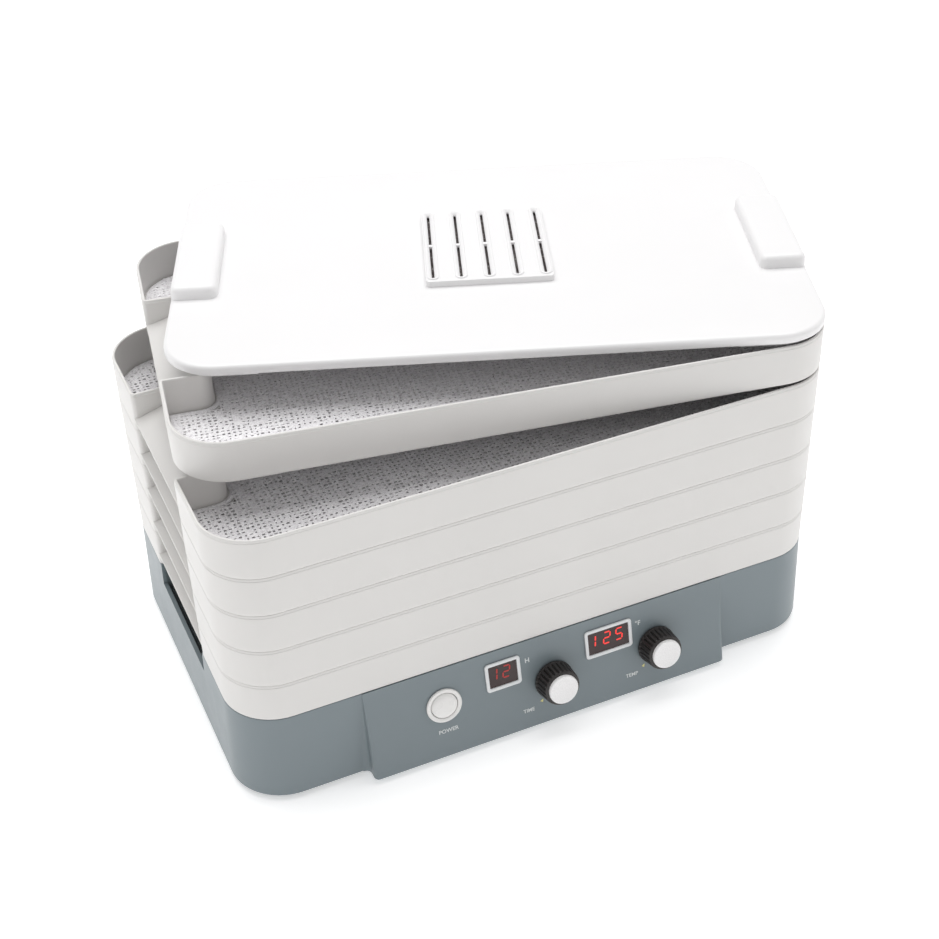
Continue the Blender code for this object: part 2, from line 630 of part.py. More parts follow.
def build_motor(root):
    """The motor on its bracket, with the impeller on its shaft and a shroud round the impeller."""
    bracket_top = MOTOR_LOW - GAP
    legs = [block((x - 0.006, -0.010, COVER_TOP + GAP), (x + 0.006, 0.010, bracket_top - 0.0005))
            for x in (-0.052, 0.052)]
    bar = block((-0.060, -0.012, bracket_top - 0.002), (0.060, 0.012, bracket_top))
    bracket = body("motor_bracket", bar, "steel", root)
    add(bracket, merged(legs), "legs")

    case = turned([(0, MOTOR_HIGH + 0.0015), (0.004, MOTOR_HIGH + 0.0015), (0.004, MOTOR_HIGH),
                   (MOTOR_R - 0.002, MOTOR_HIGH), (MOTOR_R, MOTOR_HIGH - 0.002),
                   (MOTOR_R, MOTOR_LOW + 0.0017), (MOTOR_R - 0.002, MOTOR_LOW), (0, MOTOR_LOW)], 24)
    motor = body("fan_motor", case, "motor_dark", root, 35)
    cut(motor, rod(SHAFT_R + 0.0001, 0.020, 0.04, segments=12), "shaft_bore")
    body("motor_shaft", rod(SHAFT_R, 0.0205, FAN_HIGH - 0.0035, segments=12), "steel", root, 35)
    body("fan_impeller", fan_mesh(), "fan_plastic", root, 35)
    shroud = plate([circle(SHROUD_R + SHROUD_T, 32), circle(SHROUD_R, 32)], SHROUD_LOW, ARM_Z - GAP)
    body("fan_shroud", shroud, "fan_plastic", root, 35)


def build_heater(root):
    """Ring element on crossed arms that hang from the deck, with its cut-out and the air sensor."""
    arm_top = ARM_Z + ARM_T
    bracket = body("heater_bracket", block((-ARM_REACH, -0.003, ARM_Z), (ARM_REACH, 0.003, arm_top)), "steel",
                   root)
    cross_arm = block((-0.003, -ARM_REACH, ARM_Z + 0.0001), (0.003, ARM_REACH, arm_top - 0.0001))
    add(bracket, cross_arm, "cross_arm")
    reach = ARM_REACH - 0.0021
    clips = [block((x - 0.002, y - 0.002, arm_top - 0.0004), (x + 0.002, y + 0.002, DECK_Z - GAP))
             for x, y in ((reach, 0), (-reach, 0), (0, reach), (0, -reach))]
    add(bracket, merged(clips), "clips")
    element = ring(ELEMENT_R, ELEMENT_TUBE_R, arm_top + GAP + ELEMENT_TUBE_R)
    body("heater_element", element, "element_metal", root, 60)
    cutout = turned([(0, 0.060), (0.008, 0.060), (0.008, arm_top + GAP), (0, arm_top + GAP)], 16)
    body("thermal_cutout", cutout, "motor_dark", root, 35)

    deck_top = DECK_Z + DECK_T + GAP
    probe = turned([(0, 0.0700), (0.0012, 0.0694), (0.0016, deck_top + 0.001), (0.0040, deck_top + 0.001),
                    (0.0040, deck_top), (0, deck_top)], 10)
    sensor = body("temp_sensor", probe, "steel", root, 35)
    sensor.location = (0, DUCT_R + 0.016, 0)


def build_guard(root):
    """Finger guard over the duct: a rim, two hoops and four spokes."""
    low, thickness, bar, overlap = DECK_Z + DECK_T + GAP, 0.0022, 0.0012, 0.005
    rim = plate([circle(DUCT_R + overlap, 32), circle(DUCT_R - 0.001, 32)], low, low + thickness)
    grille = body("guard_grille", rim, "base_grey", root, 35)
    reach = DUCT_R + overlap - 0.0005
    spokes = [block((-reach, -bar, low), (reach, bar, low + thickness)),
              block((-bar, -reach, low + 0.0001), (bar, reach, low + thickness - 0.0001))]
    for k, spoke in enumerate(spokes, 1):
        add(grille, spoke, f"spoke_{k}")
    for k, radius in enumerate(HOOPS, 1):
        hoop = plate([circle(radius + bar, 20), circle(radius - bar, 20)], low + 0.0003,
                     low + thickness - 0.0003)
        add(grille, hoop, f"hoop_{k}")


def build_power_board(root):
    """The mains board on its four standoffs, with its transformer, relay and capacitor as blocks."""
    low, high = COVER_TOP + 0.006, COVER_TOP + 0.0076
    board = body("power_board", block((-0.150, 0.060, low), (-0.085, 0.108, high)), "board_green", root)
    standoffs = [rod(0.003, COVER_TOP + GAP, low + 0.0003, (x, y), 8)
                 for x in (-0.145, -0.090) for y in (0.065, 0.103)]
    add(board, merged(standoffs), "standoffs")
    seat = high - 0.0001
    components = [block((-0.140, 0.070, seat), (-0.122, 0.086, 0.032)),
                  block((-0.112, 0.072, seat), (-0.096, 0.088, 0.026)),
                  block((-0.140, 0.092, seat), (-0.100, 0.102, 0.022))]
    add(board, merged(components), "components")


# ---------------------------------------------------------------- control panel and what it carries
def panel_matrix():
    """At the middle of the panel's top edge: local Y up the slope, local Z out of the face."""
    return Matrix.Translation((0, -DEPTH / 2, BASE_TOP)) @ Matrix.Rotation(math.pi / 2 - TILT, 4, "X")


def build_panel(root):
    """The wedge-shaped fascia: a sloping face with cheeks and a bottom, open at the back."""
    front, back = -DEPTH / 2, -DEPTH / 2 + 0.0025
    top, bottom = BASE_TOP - GAP, FOOT_H
    wedge = [(back, bottom), (back, top), (front, top), (front - PANEL_OUT, bottom)]
    shell = softened(plate([wedge], -PANEL_HALF, PANEL_HALF, SIDE), 0.0011, 2, 30)
    panel = body("control_panel", shell, "base_grey", root, 35)
    slope = PANEL_OUT / (top - bottom)
    inset = PANEL_T / math.cos(TILT)
    floor, roof = bottom + PANEL_T, top - 0.004
    hollow = [(back + 0.01, floor), (back + 0.01, roof), (front + inset - slope * (top - roof), roof),
              (front - PANEL_OUT + inset + slope * PANEL_T, floor)]
    cut(panel, plate([hollow], -PANEL_HALF + PANEL_T, PANEL_HALF - PANEL_T, SIDE), "hollow")
    holes = [rod(BEZEL_R - 0.0012, -0.02, 0.01, BUTTON_AT, 20)]
    holes += [rod(STEM_R + 0.0008, -0.02, 0.01, spot, 12) for spot in (TIME_KNOB_AT, TEMP_KNOB_AT)]
    for (width, height), spot in ((TIME_FRAME, TIME_DISPLAY_AT), (TEMP_FRAME, TEMP_DISPLAY_AT)):
        holes.append(plate([rectangle(width - 0.0024, height - 0.0024, 0.0008, 1, spot)], -0.02, 0.01))
    cut(panel, moved(merged(holes), frame=panel_matrix()), "openings")


def build_power_button(frame):
    x, y = BUTTON_AT
    bezel = turned([(0.0116, 0.0016), (BEZEL_R, 0.0008), (BEZEL_R, GAP), (0.0111, GAP), (0.0111, -0.0030),
                    (BUTTON_R + 0.0004, -0.0030), (BUTTON_R + 0.0004, 0.0016), (0.0116, 0.0016)], 24)
    cap = turned([(0, 0.0034), (0.006, 0.0032), (0.0086, 0.0026), (BUTTON_R, 0.0016), (BUTTON_R, -0.0036),
                  (0.003, -0.0036), (0.003, -0.0050), (0, -0.0050)], 24)
    for name, mesh, material in (("power_bezel", bezel, "bezel_grey"), ("power_button", cap, "cap_white")):
        ob = body(name, mesh, material, frame, 35)
        ob.location = (x, y, 0)
    switch = block((x - 0.006, y - 0.006, BOARD_FRONT + GAP), (x + 0.006, y + 0.006, -0.0068))
    body("power_switch", switch, "led_black", frame)


def build_display(frame, label, spot, size):
    """A display: a frame through the panel, its window and the LED module behind it."""
    width, height = size
    outer = rectangle(width, height, 0.002, 3, spot)
    neck = rectangle(width - 0.003, height - 0.003, 0.001, 2, spot)
    sight = rectangle(width - 2 * FRAME_EDGE, height - 2 * FRAME_EDGE, 0.001, 2, spot)
    bezel = body(f"{label}_display_frame", plate([outer, sight], GAP, 0.0014), "bezel_grey", frame, 35)
    add(bezel, plate([neck, sight], -0.0030, 0.0008), "neck")
    inset = 2 * FRAME_EDGE + 0.0006
    pane = rectangle(width - inset, height - inset, 0.0008, 2, spot)
    body(f"{label}_display_window", plate([pane], -0.0012, 0.0002), "window_red", frame)
    x, y = spot
    a, b = width / 2 - 0.0032, height / 2 - 0.0032
    led = block((x - a, y - b, BOARD_FRONT + GAP), (x + a, y + b, -0.0016))
    body(f"{label}_display_module", led, "led_black", frame)


def fluted(radius, flutes=20, depth=0.0007):
    """A knob's outline: shallow flutes all round."""
    count = flutes * 2
    return [Vector((math.cos(math.tau * k / count), math.sin(math.tau * k / count)))
            * (radius - (depth if k % 2 else 0)) for k in range(count)]


def build_knob(frame, label, spot):
    """A fluted knob with a stem through the panel, its white cap and the encoder that it turns."""
    axis = empty(f"{label}_knob_axis", frame, Matrix.Translation((*spot, 0)))
    grip = plate([fluted(KNOB_R)], GAP + 0.0006, KNOB_H)
    for vertex in grip.vertices:
        shrink = 1 - KNOB_TAPER * (vertex.co.z / KNOB_H)
        vertex.co.x *= shrink
        vertex.co.y *= shrink
    knob = body(f"{label}_knob", grip, "knob_black", axis, 25)
    add(knob, rod(STEM_R, -0.0042, 0.002, segments=12), "stem")
    low, high = KNOB_H + GAP, KNOB_H + GAP + CAP_H
    cap = turned([(0, high), (CAP_R - 0.0012, high), (CAP_R, high - 0.0010), (CAP_R, low), (0, low)], 24)
    body(f"{label}_knob_cap", cap, "cap_white", axis, 35)
    x, y = spot
    encoder = block((x - 0.0062, y - 0.0066, BOARD_FRONT + GAP), (x + 0.0062, y + 0.0066, -0.0060))
    ob = body(f"{label}_encoder", encoder, "motor_dark", frame)
    add(ob, rod(0.0040, -0.0065, -0.0046, spot, 12), "bushing")


def build_controls(root):
    frame = empty("panel_frame", root, panel_matrix())
    build_panel(root)
    build_power_button(frame)
    build_display(frame, "time", TIME_DISPLAY_AT, TIME_FRAME)
    build_display(frame, "temp", TEMP_DISPLAY_AT, TEMP_FRAME)
    build_knob(frame, "time", TIME_KNOB_AT)
    build_knob(frame, "temp", TEMP_KNOB_AT)
    board = block((-0.098, -0.050, BOARD_FRONT - BOARD_T), (0.098, -0.0125, BOARD_FRONT))
    body("control_board", board, "board_green", frame)


# ---------------------------------------------------------------- the whole object
def bottom_centre():
    """The middle of the parts' common box, on its lowest plane."""
    bpy.context.view_layer.update()
    graph = bpy.context.evaluated_depsgraph_get()
    corners = []
    for ob in PARTS.objects:
        if ob.type == "MESH":
            shape = ob.evaluated_get(graph)
            corners += [shape.matrix_world @ v.co for v in shape.data.vertices]
    low = [min(c[i] for c in corners) for i in range(3)]
    high = [max(c[i] for c in corners) for i in range(3)]
    return Vector(((low[0] + high[0]) / 2, (low[1] + high[1]) / 2, low[2]))


def build():
    root = empty("food_dehydrator_origin")
    build_housing(root)
    build_bottom(root)
    build_filters(root)
    build_gland(root)
    build_motor(root)
    build_heater(root)
    build_guard(root)
    build_power_board(root)
    build_controls(root)
    swivel = build_trays(root)
    build_lid(swivel)
    root.location = -bottom_centre()


build()
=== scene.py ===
"""Looks of the food dehydrator: fine meshes, procedural materials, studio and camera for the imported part.

Units are metres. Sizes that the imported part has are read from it; the others are named here. Pieces are
modelled about the middle of the closed stack's footprint, on the floor, and a matrix puts them in place.
"""
import json
import math
import random

import bmesh
import bpy
from mathutils import Matrix, Vector

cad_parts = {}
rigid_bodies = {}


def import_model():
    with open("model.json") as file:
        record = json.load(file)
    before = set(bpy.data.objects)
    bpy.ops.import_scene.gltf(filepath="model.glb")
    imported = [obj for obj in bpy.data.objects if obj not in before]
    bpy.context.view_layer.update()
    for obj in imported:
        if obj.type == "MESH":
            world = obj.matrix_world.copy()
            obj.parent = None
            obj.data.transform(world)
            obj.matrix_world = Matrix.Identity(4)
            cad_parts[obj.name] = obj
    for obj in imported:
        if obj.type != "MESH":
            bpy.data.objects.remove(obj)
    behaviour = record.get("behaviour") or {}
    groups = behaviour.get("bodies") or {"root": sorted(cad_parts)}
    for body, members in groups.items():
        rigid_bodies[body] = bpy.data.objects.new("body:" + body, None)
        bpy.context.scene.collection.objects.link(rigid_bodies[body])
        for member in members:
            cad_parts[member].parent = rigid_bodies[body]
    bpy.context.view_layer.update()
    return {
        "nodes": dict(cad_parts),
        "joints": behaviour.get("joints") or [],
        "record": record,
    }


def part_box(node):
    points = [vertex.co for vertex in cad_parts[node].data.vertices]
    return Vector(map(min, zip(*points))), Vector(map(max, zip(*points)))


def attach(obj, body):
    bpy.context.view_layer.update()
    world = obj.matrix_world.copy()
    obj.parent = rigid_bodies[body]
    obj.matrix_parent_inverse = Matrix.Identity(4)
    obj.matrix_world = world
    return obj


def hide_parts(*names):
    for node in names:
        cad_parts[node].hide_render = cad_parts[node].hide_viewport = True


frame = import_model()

bpy.context.scene.view_settings.view_transform = "Standard"

# ---------------- sizes read from the frame
TRAY_LOW, TRAY_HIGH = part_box("tray_6")
BASE_LOW, BASE_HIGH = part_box("base_housing")
PANEL_LOW, PANEL_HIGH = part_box("control_panel")
JOINTS = {joint["name"]: joint for joint in frame["joints"]}

WIDTH = TRAY_HIGH.x - TRAY_LOW.x
DEPTH = TRAY_HIGH.y - TRAY_LOW.y
FOOT_H = BASE_LOW.z
BASE_TOP = BASE_HIGH.z
BASE_H = BASE_TOP - FOOT_H
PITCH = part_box("tray_5")[1].z - TRAY_HIGH.z
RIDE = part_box("tray_1")[1].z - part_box("tray_2")[1].z - PITCH
PANEL_HALF = (PANEL_HIGH.x - PANEL_LOW.x) / 2
PANEL_OUT = TRAY_LOW.y - PANEL_LOW.y
TILT = math.atan2(PANEL_OUT, BASE_H)
FLARE = (BASE_HIGH.x - BASE_LOW.x - WIDTH) / 2
SWIVEL_TRAY = -JOINTS["tray_1_swivel"]["range_deg"][0]
SWIVEL_LID = -JOINTS["lid_swivel"]["range_deg"][0]
PIVOT = Vector(JOINTS["tray_1_swivel"]["pos_m"][:2] + [0])

# ---------------- sizes set here
TRAYS = 6
GAP = 0.0003
CORNER, CORNER_STEPS = 0.036, 14
FLAT_FROM = 0.0016  # a tall wall is shaded flat from this far inside its rounded edges
CUT = 0.02  # how far a cutter reaches past what it cuts
TURN_STEPS = 64
SOFT_EDGE, SOFT_ANGLE = 0.0003, 40

# The trays
TRAY_WALL = 0.0022
RIM_BAND, RIM_SET_BACK, RIM_R = 0.0024, 0.0003, 0.0008  # the rim is a slightly set-back band
FLOOR_Z, FLOOR_T = 0.0005, 0.0018
BAR, BAR_PITCH, BORDER = 0.0018, 0.011, 0.006  # the floor's grid, and the solid border round it
NOTCH_DEPTH = 0.032
NOTCH_X, NOTCH_HALF = WIDTH / 2 - NOTCH_DEPTH, 0.051
MOUTH_R, MOUTH_LEAST_R, BACK_R, NOTCH_STEPS = 0.0032, 0.0006, 0.008, 5
LEDGE_INNER, LEDGE_OUTER, LEDGE_T, LEDGE_R = 0.0195, 0.0095, 0.0018, 0.0006
LEDGE_TURNS = (0, 20, 38, 54, 68, 79)  # where its sections stand: degrees round the back corner
LEDGE_SHARES = (0.0, 0.08, 0.25, 0.5, 0.75)  # and parts of the mouth's radius
LIP_H, LIP_T, LIP_INSET, LIP_START, LIP_END = 0.0022, 0.0015, 0.0034, 0.154, 0.063
LIP_ROOT = 0.0015  # how far a tray's lip reaches up its wall

# The mesh sheets
LINER_T, LINER_PITCH, LINER_INSET, LINER_BORDER = 0.0008, 0.0034, TRAY_WALL + 0.0012, 0.0036
SCREEN_T, SCREEN_PITCH, SCREEN_INSET, SCREEN_LIFT = 0.0003, 0.0014, 0.003, 0.0004
NODE_JITTER, HOLE_JITTER, HOLE_STRETCH = 0.14, 0.12, 1.25  # of a cell, and a hole's width to its length

# The lid
LID_T, LID_SKIN, LID_EDGE_R, LID_REACH = 0.0065, 0.0022, 0.0028, 0.030
LID_LIP_ROOT = LID_T - LID_SKIN + 0.0005
PAD_H, PAD_HALF, PAD_R, PAD_CORNER, PAD_DRAFT, PAD_STEPS = 0.009, 0.048, 0.0042, 0.0055, 0.0004, 8
VENT_HALF_X, VENT_HALF_Y, VENT_Y, VENT_R = 0.0435, 0.0515, 0.003, 0.003
VENT_RISE, VENT_EDGE, VENT_T, VENT_SEAT = 0.0045, 0.0005, 0.002, 0.001
SLOT_XS = [0.0192 * k for k in (-2, -1, 0, 1, 2)]
SLOT_HALF, SLOT_R, BRIDGE_HALF = 0.0450, 0.0036, 0.0014  # the first: half a slot's straight length
COLLAR = [  # radius round a slot's middle line, and height over the vent's plate
    (0.0043, -0.0006), (0.0043, 0.0002), (0.0041, 0.0006), (0.0037, 0.0009), (0.0032, 0.0009),
    (0.0027, 0.0007), (0.0012, -0.0010), (0.0009, -0.0014), (0.0009, -0.0024), (0.0040, -0.0024),
]

# The base and its control panel
BASE_WALL = 0.0025
DECK_Z, DECK_T, DUCT_R, DUCT_STEPS = 0.062, 0.0028, 0.075, 72
POCKET_Z, POCKET_WALL, POCKET_LEDGE, POCKET_FLOOR, SILL_Z = 0.042, 0.0025, 0.0035, 0.002, 0.055
BELOW_POCKET, IN_POCKET, ABOVE_BASE = 0.03, 0.05, 0.09  # heights where the cutters end
PANEL_T, PANEL_EDGE_R, PANEL_COVE_R, PANEL_LAP = 0.0025, 0.0032, 0.0045, 0.0015
PANEL_BAY, PANEL_ROOF, PANEL_ROWS = 0.0028, 0.004, 12
PANEL_BACK = -DEPTH / 2 + 0.0125

# Places on the control panel's face: X, and Y up the slope from its top edge
BUTTON_AT = (-0.0798, -0.0284)
TIME_DISPLAY_AT, TIME_FRAME = (-0.0356, -0.0197), (0.0258, 0.0216)
TEMP_DISPLAY_AT, TEMP_FRAME = (0.0441, -0.0197), (0.0360, 0.0218)
TIME_KNOB_AT, TEMP_KNOB_AT = (0.0004, -0.0362), (0.0798, -0.0360)
FRAME_EDGE, FRAME_R, FRAME_LAP = 0.0024, 0.0024, 0.0012
BEZEL_R, BEZEL_LAP, BUTTON_R = 0.0126, 0.0016, 0.0093
KNOB_R, KNOB_TOP_R, KNOB_H = 0.0141, 0.0129, 0.0150
FLUTES, FLUTE_STEPS, FLUTE_DEPTH, FLUTE_POWER = 26, 8, 0.0009, 0.8
CAP_R, CAP_H = 0.0106, 0.0022
STEM_R, STEM_ROOM = 0.0034, 0.0008
DIGIT_H, DIGIT_W, DIGIT_BAR, DIGIT_LEAN, DIGIT_Y = 0.0086, 0.0048, 0.0010, 0.10, -0.0029
DIGIT_GAP, DIGIT_T = 0.00025, 0.00008
TIME_DIGITS = (("1", -0.0048), ("2", 0.0022))
TEMP_DIGITS = (("1", -0.0103), ("2", -0.0014), ("5", 0.0080))
LIT_BARS = {"1": "bc", "2": "abged", "5": "afgcd"}
TYPE_SIZE, INK_T, INK_SPREAD, INK_LIFT = 1.42, 0.00003, 0.00005, 0.00006
LABELS = [  # name, words, place, height
    ("label_power", "POWER", (-0.0788, -0.0489), 0.0029),
    ("label_time", "TIME", (-0.0197, -0.0550), 0.0028),
    ("label_temp", "TEMP", (0.0600, -0.0547), 0.0028),
    ("label_hours", "H", (-0.0172, -0.0158), 0.0036),
    ("label_degrees", "\u00b0F", (0.0674, -0.0154), 0.0036),
]
INDEX_MARKS = [("mark_time", (-0.0092, -0.0505), TIME_KNOB_AT),
               ("mark_temp", (0.0696, -0.0502), TEMP_KNOB_AT)]
MARK_TIP, MARK_BACK, MARK_HALF = 0.0014, 0.0011, 0.0012

# The studio and the camera
FLOOR_HALF = 30
FLOOR_GLOW = 0.42  # the floor glows softly, so that it stays white under the object
WORLD_STRENGTH, HORIZON_STRENGTH, HORIZON_BAND = 0.48, 1.02, 0.25  # white at the horizon, softer overhead
LIGHT_TARGET = (0, 0, 0.1)
LIGHTS = [  # name, size, energy, place
    ("overhead", (2.4, 1.8), 40, (0.1, 0.5, 2.2)),
    ("left_window", (1.6, 1.6), 4, (-2.2, 0.3, 1.3)),
    ("right_fill", (1.4, 1.4), 5, (2.4, -0.6, 0.9)),
]
CAMERA_AT = Vector((-0.35917, -0.85063, 0.79110 + FOOT_H))
CAMERA_AZIMUTH, CAMERA_DOWN, CAMERA_ROLL = 23.12, 36.18, 1.89
CAMERA_LENS, CAMERA_SENSOR = 61.28, 36

# ---------------- places
TURNED_BODIES = ("tray_1", "lid")  # turned in their meshes, so that the pieces' boxes stay tight
STACK = Matrix.Translation(((TRAY_LOW.x + TRAY_HIGH.x) / 2, (TRAY_LOW.y + TRAY_HIGH.y) / 2, 0))


def swivelled(angle):
    """Places a piece of the closed stack, turned clockwise about the pivot by that many degrees."""
    turn = Matrix.Rotation(-math.radians(angle), 4, "Z")
    return Matrix.Translation(PIVOT) @ turn @ Matrix.Translation(-PIVOT) @ STACK


def tray_place(number):
    """Where tray number 1 (top) to 6 stands, with z = 0 on the rim below it."""
    height = BASE_TOP + (TRAYS - number) * PITCH
    if number == 1:
        return swivelled(SWIVEL_TRAY) @ Matrix.Translation((0, 0, height + RIDE))
    return STACK @ Matrix.Translation((0, 0, height))


LID_Z = BASE_TOP + TRAYS * PITCH + 2 * RIDE
LID_PLACE = swivelled(SWIVEL_TRAY + SWIVEL_LID) @ Matrix.Translation((0, 0, LID_Z))
PANEL_TURN = Matrix.Rotation(math.pi / 2 - TILT, 4, "X")
FACE = STACK @ Matrix.Translation((0, -DEPTH / 2, BASE_TOP)) @ PANEL_TURN


# ---------------- outlines
def fillet(corners):
    """A closed outline from sharp corners, (x, y), and rounded ones, (x, y, radius, steps)."""
    points = [Vector(corner[:2]) for corner in corners]
    outline = []
    for i, (point, corner) in enumerate(zip(points, corners)):
        if len(corner) == 2:
            outline.append(point)
            continue
        radius, steps = corner[2:]
        before = (points[i - 1] - point).normalized()
        after = (points[(i + 1) % len(points)] - point).normalized()
        half = before.angle(after) / 2
        centre = point + (before + after).normalized() * (radius / math.sin(half))
        first = point + before * (radius / math.tan(half)) - centre
        last = point + after * (radius / math.tan(half)) - centre
        start = math.atan2(first.y, first.x)
        turn = (math.atan2(last.y, last.x) - start + math.pi) % math.tau - math.pi
        for k in range(steps + 1):
            angle = start + turn * k / steps
            outline.append(centre + radius * Vector((math.cos(angle), math.sin(angle))))
    return outline


def rectangle(half_x, half_y, radius, steps=6, centre=(0, 0)):
    x, y = centre
    return fillet([(x + a * half_x, y + b * half_y, radius, steps)
                   for a, b in ((1, -1), (1, 1), (-1, 1), (-1, -1))])


def circle(radius, steps):
    turns = [math.tau * k / steps for k in range(steps)]
    return [Vector((radius * math.cos(t), radius * math.sin(t))) for t in turns]


def stadium(half_length, radius, steps=10):
    """A slot's outline, long along Y; its ends are a hair under half circles, so no points meet."""
    return rectangle(radius, half_length + radius, radius * 0.9999, steps)


def stack_outline(inset):
    """The plan of the base and the lid, moved inwards by inset."""
    return rectangle(WIDTH / 2 - inset, DEPTH / 2 - inset, CORNER - inset, CORNER_STEPS)


def tray_outline(inset):
    """The tray's plan, with a hand recess in each short side, moved inwards by inset."""
    x, y = WIDTH / 2 - inset, DEPTH / 2 - inset
    notch_x, notch_y = NOTCH_X - inset, NOTCH_HALF + inset
    quarter = [(x, -y, CORNER - inset, CORNER_STEPS),
               (x, -notch_y, max(MOUTH_R - inset, MOUTH_LEAST_R), NOTCH_STEPS),
               (notch_x, -notch_y, BACK_R + inset, NOTCH_STEPS)]
    half = quarter + [(px, -py, *rounding) for px, py, *rounding in reversed(quarter)]
    return fillet(half + [(-px, -py, *rounding) for px, py, *rounding in half])


def in_tray(x, y, inset):
    """Whether a point lies in that plan."""
    x, y = abs(x), abs(y)
    if x > WIDTH / 2 - inset or y > DEPTH / 2 - inset:
        return False
    if x > NOTCH_X - inset and y < NOTCH_HALF + inset:
        return False
    corner_x, corner_y = x - (WIDTH / 2 - CORNER), y - (DEPTH / 2 - CORNER)
    return min(corner_x, corner_y) < 0 or math.hypot(corner_x, corner_y) < CORNER - inset


# ---------------- meshes
def as_mesh(bm):
    """Turns a bmesh with its faces made to look outwards into a mesh."""
    mesh = bpy.data.meshes.new("mesh")
    bmesh.ops.recalc_face_normals(bm, faces=bm.faces)
    bm.to_mesh(mesh)
    bm.free()
    return mesh


def loft(rings, cyclic=False):
    """Faces between rings of equally many points: a closed ring of rings, or a stack with end caps."""
    bm = bmesh.new()
    rows = [[bm.verts.new(point) for point in ring] for ring in rings]
    following = rows[1:] + rows[:1] if cyclic else rows[1:]
    for row, other in zip(rows, following):
        for i, vertex in enumerate(row):
            j = (i + 1) % len(row)
            bm.faces.new((vertex, row[j], other[j], other[i]))
    if not cyclic:
        bm.faces.new(rows[0])
        bm.faces.new(rows[-1])
    return as_mesh(bm)


def level(outline, z):
    return [(x, y, z) for x, y in outline]


def swept(outline, section, cyclic=True):
    """Carries a section, points of (inset, height), round a plan given as a function of inset."""
    return loft([level(outline(inset), z) for inset, z in section], cyclic)


def turned_rings(profile, steps):
    """Rings about Z, one for each (radius, height) of a profile."""
    turns = [math.tau * k / steps for k in range(steps)]
    return [[(r * math.cos(t), r * math.sin(t), z) for t in turns] for r, z in profile]


def turned(profile, steps=TURN_STEPS):
    """A turned solid whose profile runs from one end cap to the other."""
    return loft(turned_rings([(max(r, 1e-5), z) for r, z in profile], steps))


def ring_turned(profile, steps=TURN_STEPS):
    """A turned ring from a closed profile."""
    return loft(turned_rings(profile, steps), cyclic=True)


def plate(outlines, low, high):
    """A flat plate from an outline and the outlines of its holes."""
    curve = bpy.data.curves.new("outline", "CURVE")
    curve.dimensions = "2D"
    curve.fill_mode = "BOTH"
    curve.extrude = (high - low) / 2
    for outline in outlines:
        spline = curve.splines.new("POLY")
        spline.points.add(len(outline) - 1)
        for point, (x, y) in zip(spline.points, outline):
            point.co = (x, y, 0, 1)
        spline.use_cyclic_u = True
    ob = bpy.data.objects.new("outline", curve)
    bpy.context.scene.collection.objects.link(ob)
    mesh = evaluated(ob)
    mesh.transform(Matrix.Translation((0, 0, (low + high) / 2)))
    bm = bmesh.new()
    bm.from_mesh(mesh)
    bmesh.ops.remove_doubles(bm, verts=bm.verts, dist=1e-6)
    return as_mesh(bm)


def evaluated(ob):
    """The object's mesh with its modifiers applied; the object is removed."""
    bpy.context.view_layer.update()
    shape = ob.evaluated_get(bpy.context.evaluated_depsgraph_get())
    mesh = bpy.data.meshes.new_from_object(shape)
    bpy.data.objects.remove(ob, do_unlink=True)
    return mesh


def block(low, high):
    size = [h - l for l, h in zip(low, high)]
    middle = [(h + l) / 2 for l, h in zip(low, high)]
    bm = bmesh.new()
    bmesh.ops.create_cube(bm, size=1, matrix=Matrix.LocRotScale(middle, None, size))
    return as_mesh(bm)


def joined(meshes):
    bm = bmesh.new()
    for mesh in meshes:
        bm.from_mesh(mesh)
    return as_mesh(bm)


def moved(mesh, matrix):
    copy = mesh.copy()
    copy.transform(matrix)
    return copy


def boolean(mesh, steps):
    """Unites or cuts other meshes, one after the other: steps are (operation, mesh)."""
    scene = bpy.context.scene.collection.objects
    ob = bpy.data.objects.new("shape", mesh)
    scene.link(ob)
    operands = []
    for operation, operand in steps:
        other = bpy.data.objects.new("operand", operand)
        scene.link(other)
        operands.append(other)
        modifier = ob.modifiers.new("step", "BOOLEAN")
        modifier.operation = operation
        modifier.object = other
    result = evaluated(ob)
    for other in operands:
        bpy.data.objects.remove(other, do_unlink=True)
    return result


def piece(name, mesh, material, body, matrix=None, replaces=(), sharp=35):
    """A visible piece that rides on a body, in place of some CAD nodes."""
    if not mesh.materials:
        mesh.materials.append(material)
    if body in TURNED_BODIES:
        mesh, matrix = moved(mesh, matrix), None
    ob = bpy.data.objects.new(name, mesh)
    bpy.context.scene.collection.objects.link(ob)
    if sharp:
        mesh.shade_smooth()
        mesh.set_sharp_from_angle(angle=math.radians(sharp))
    if matrix is not None:
        ob.matrix_world = matrix
    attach(ob, body)
    if replaces:
        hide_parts(*replaces)
    return ob


# ---------------- materials
def shader(name, color, roughness, metallic=0.0, **sockets):
    """A new Principled material; sockets are set by name, with _ for a space."""
    mat = bpy.data.materials.new(name)
    mat.use_nodes = True
    bsdf = mat.node_tree.nodes["Principled BSDF"]
    bsdf.inputs["Base Color"].default_value = (*color, 1)
    bsdf.inputs["Roughness"].default_value = roughness
    bsdf.inputs["Metallic"].default_value = metallic
    for socket, value in sockets.items():
        bsdf.inputs[socket.replace("_", " ")].default_value = value
    return mat, mat.node_tree, bsdf


def own_coordinates(tree):
    """The piece's own coordinates, in metres."""
    return tree.nodes.new("ShaderNodeTexCoord").outputs["Object"]


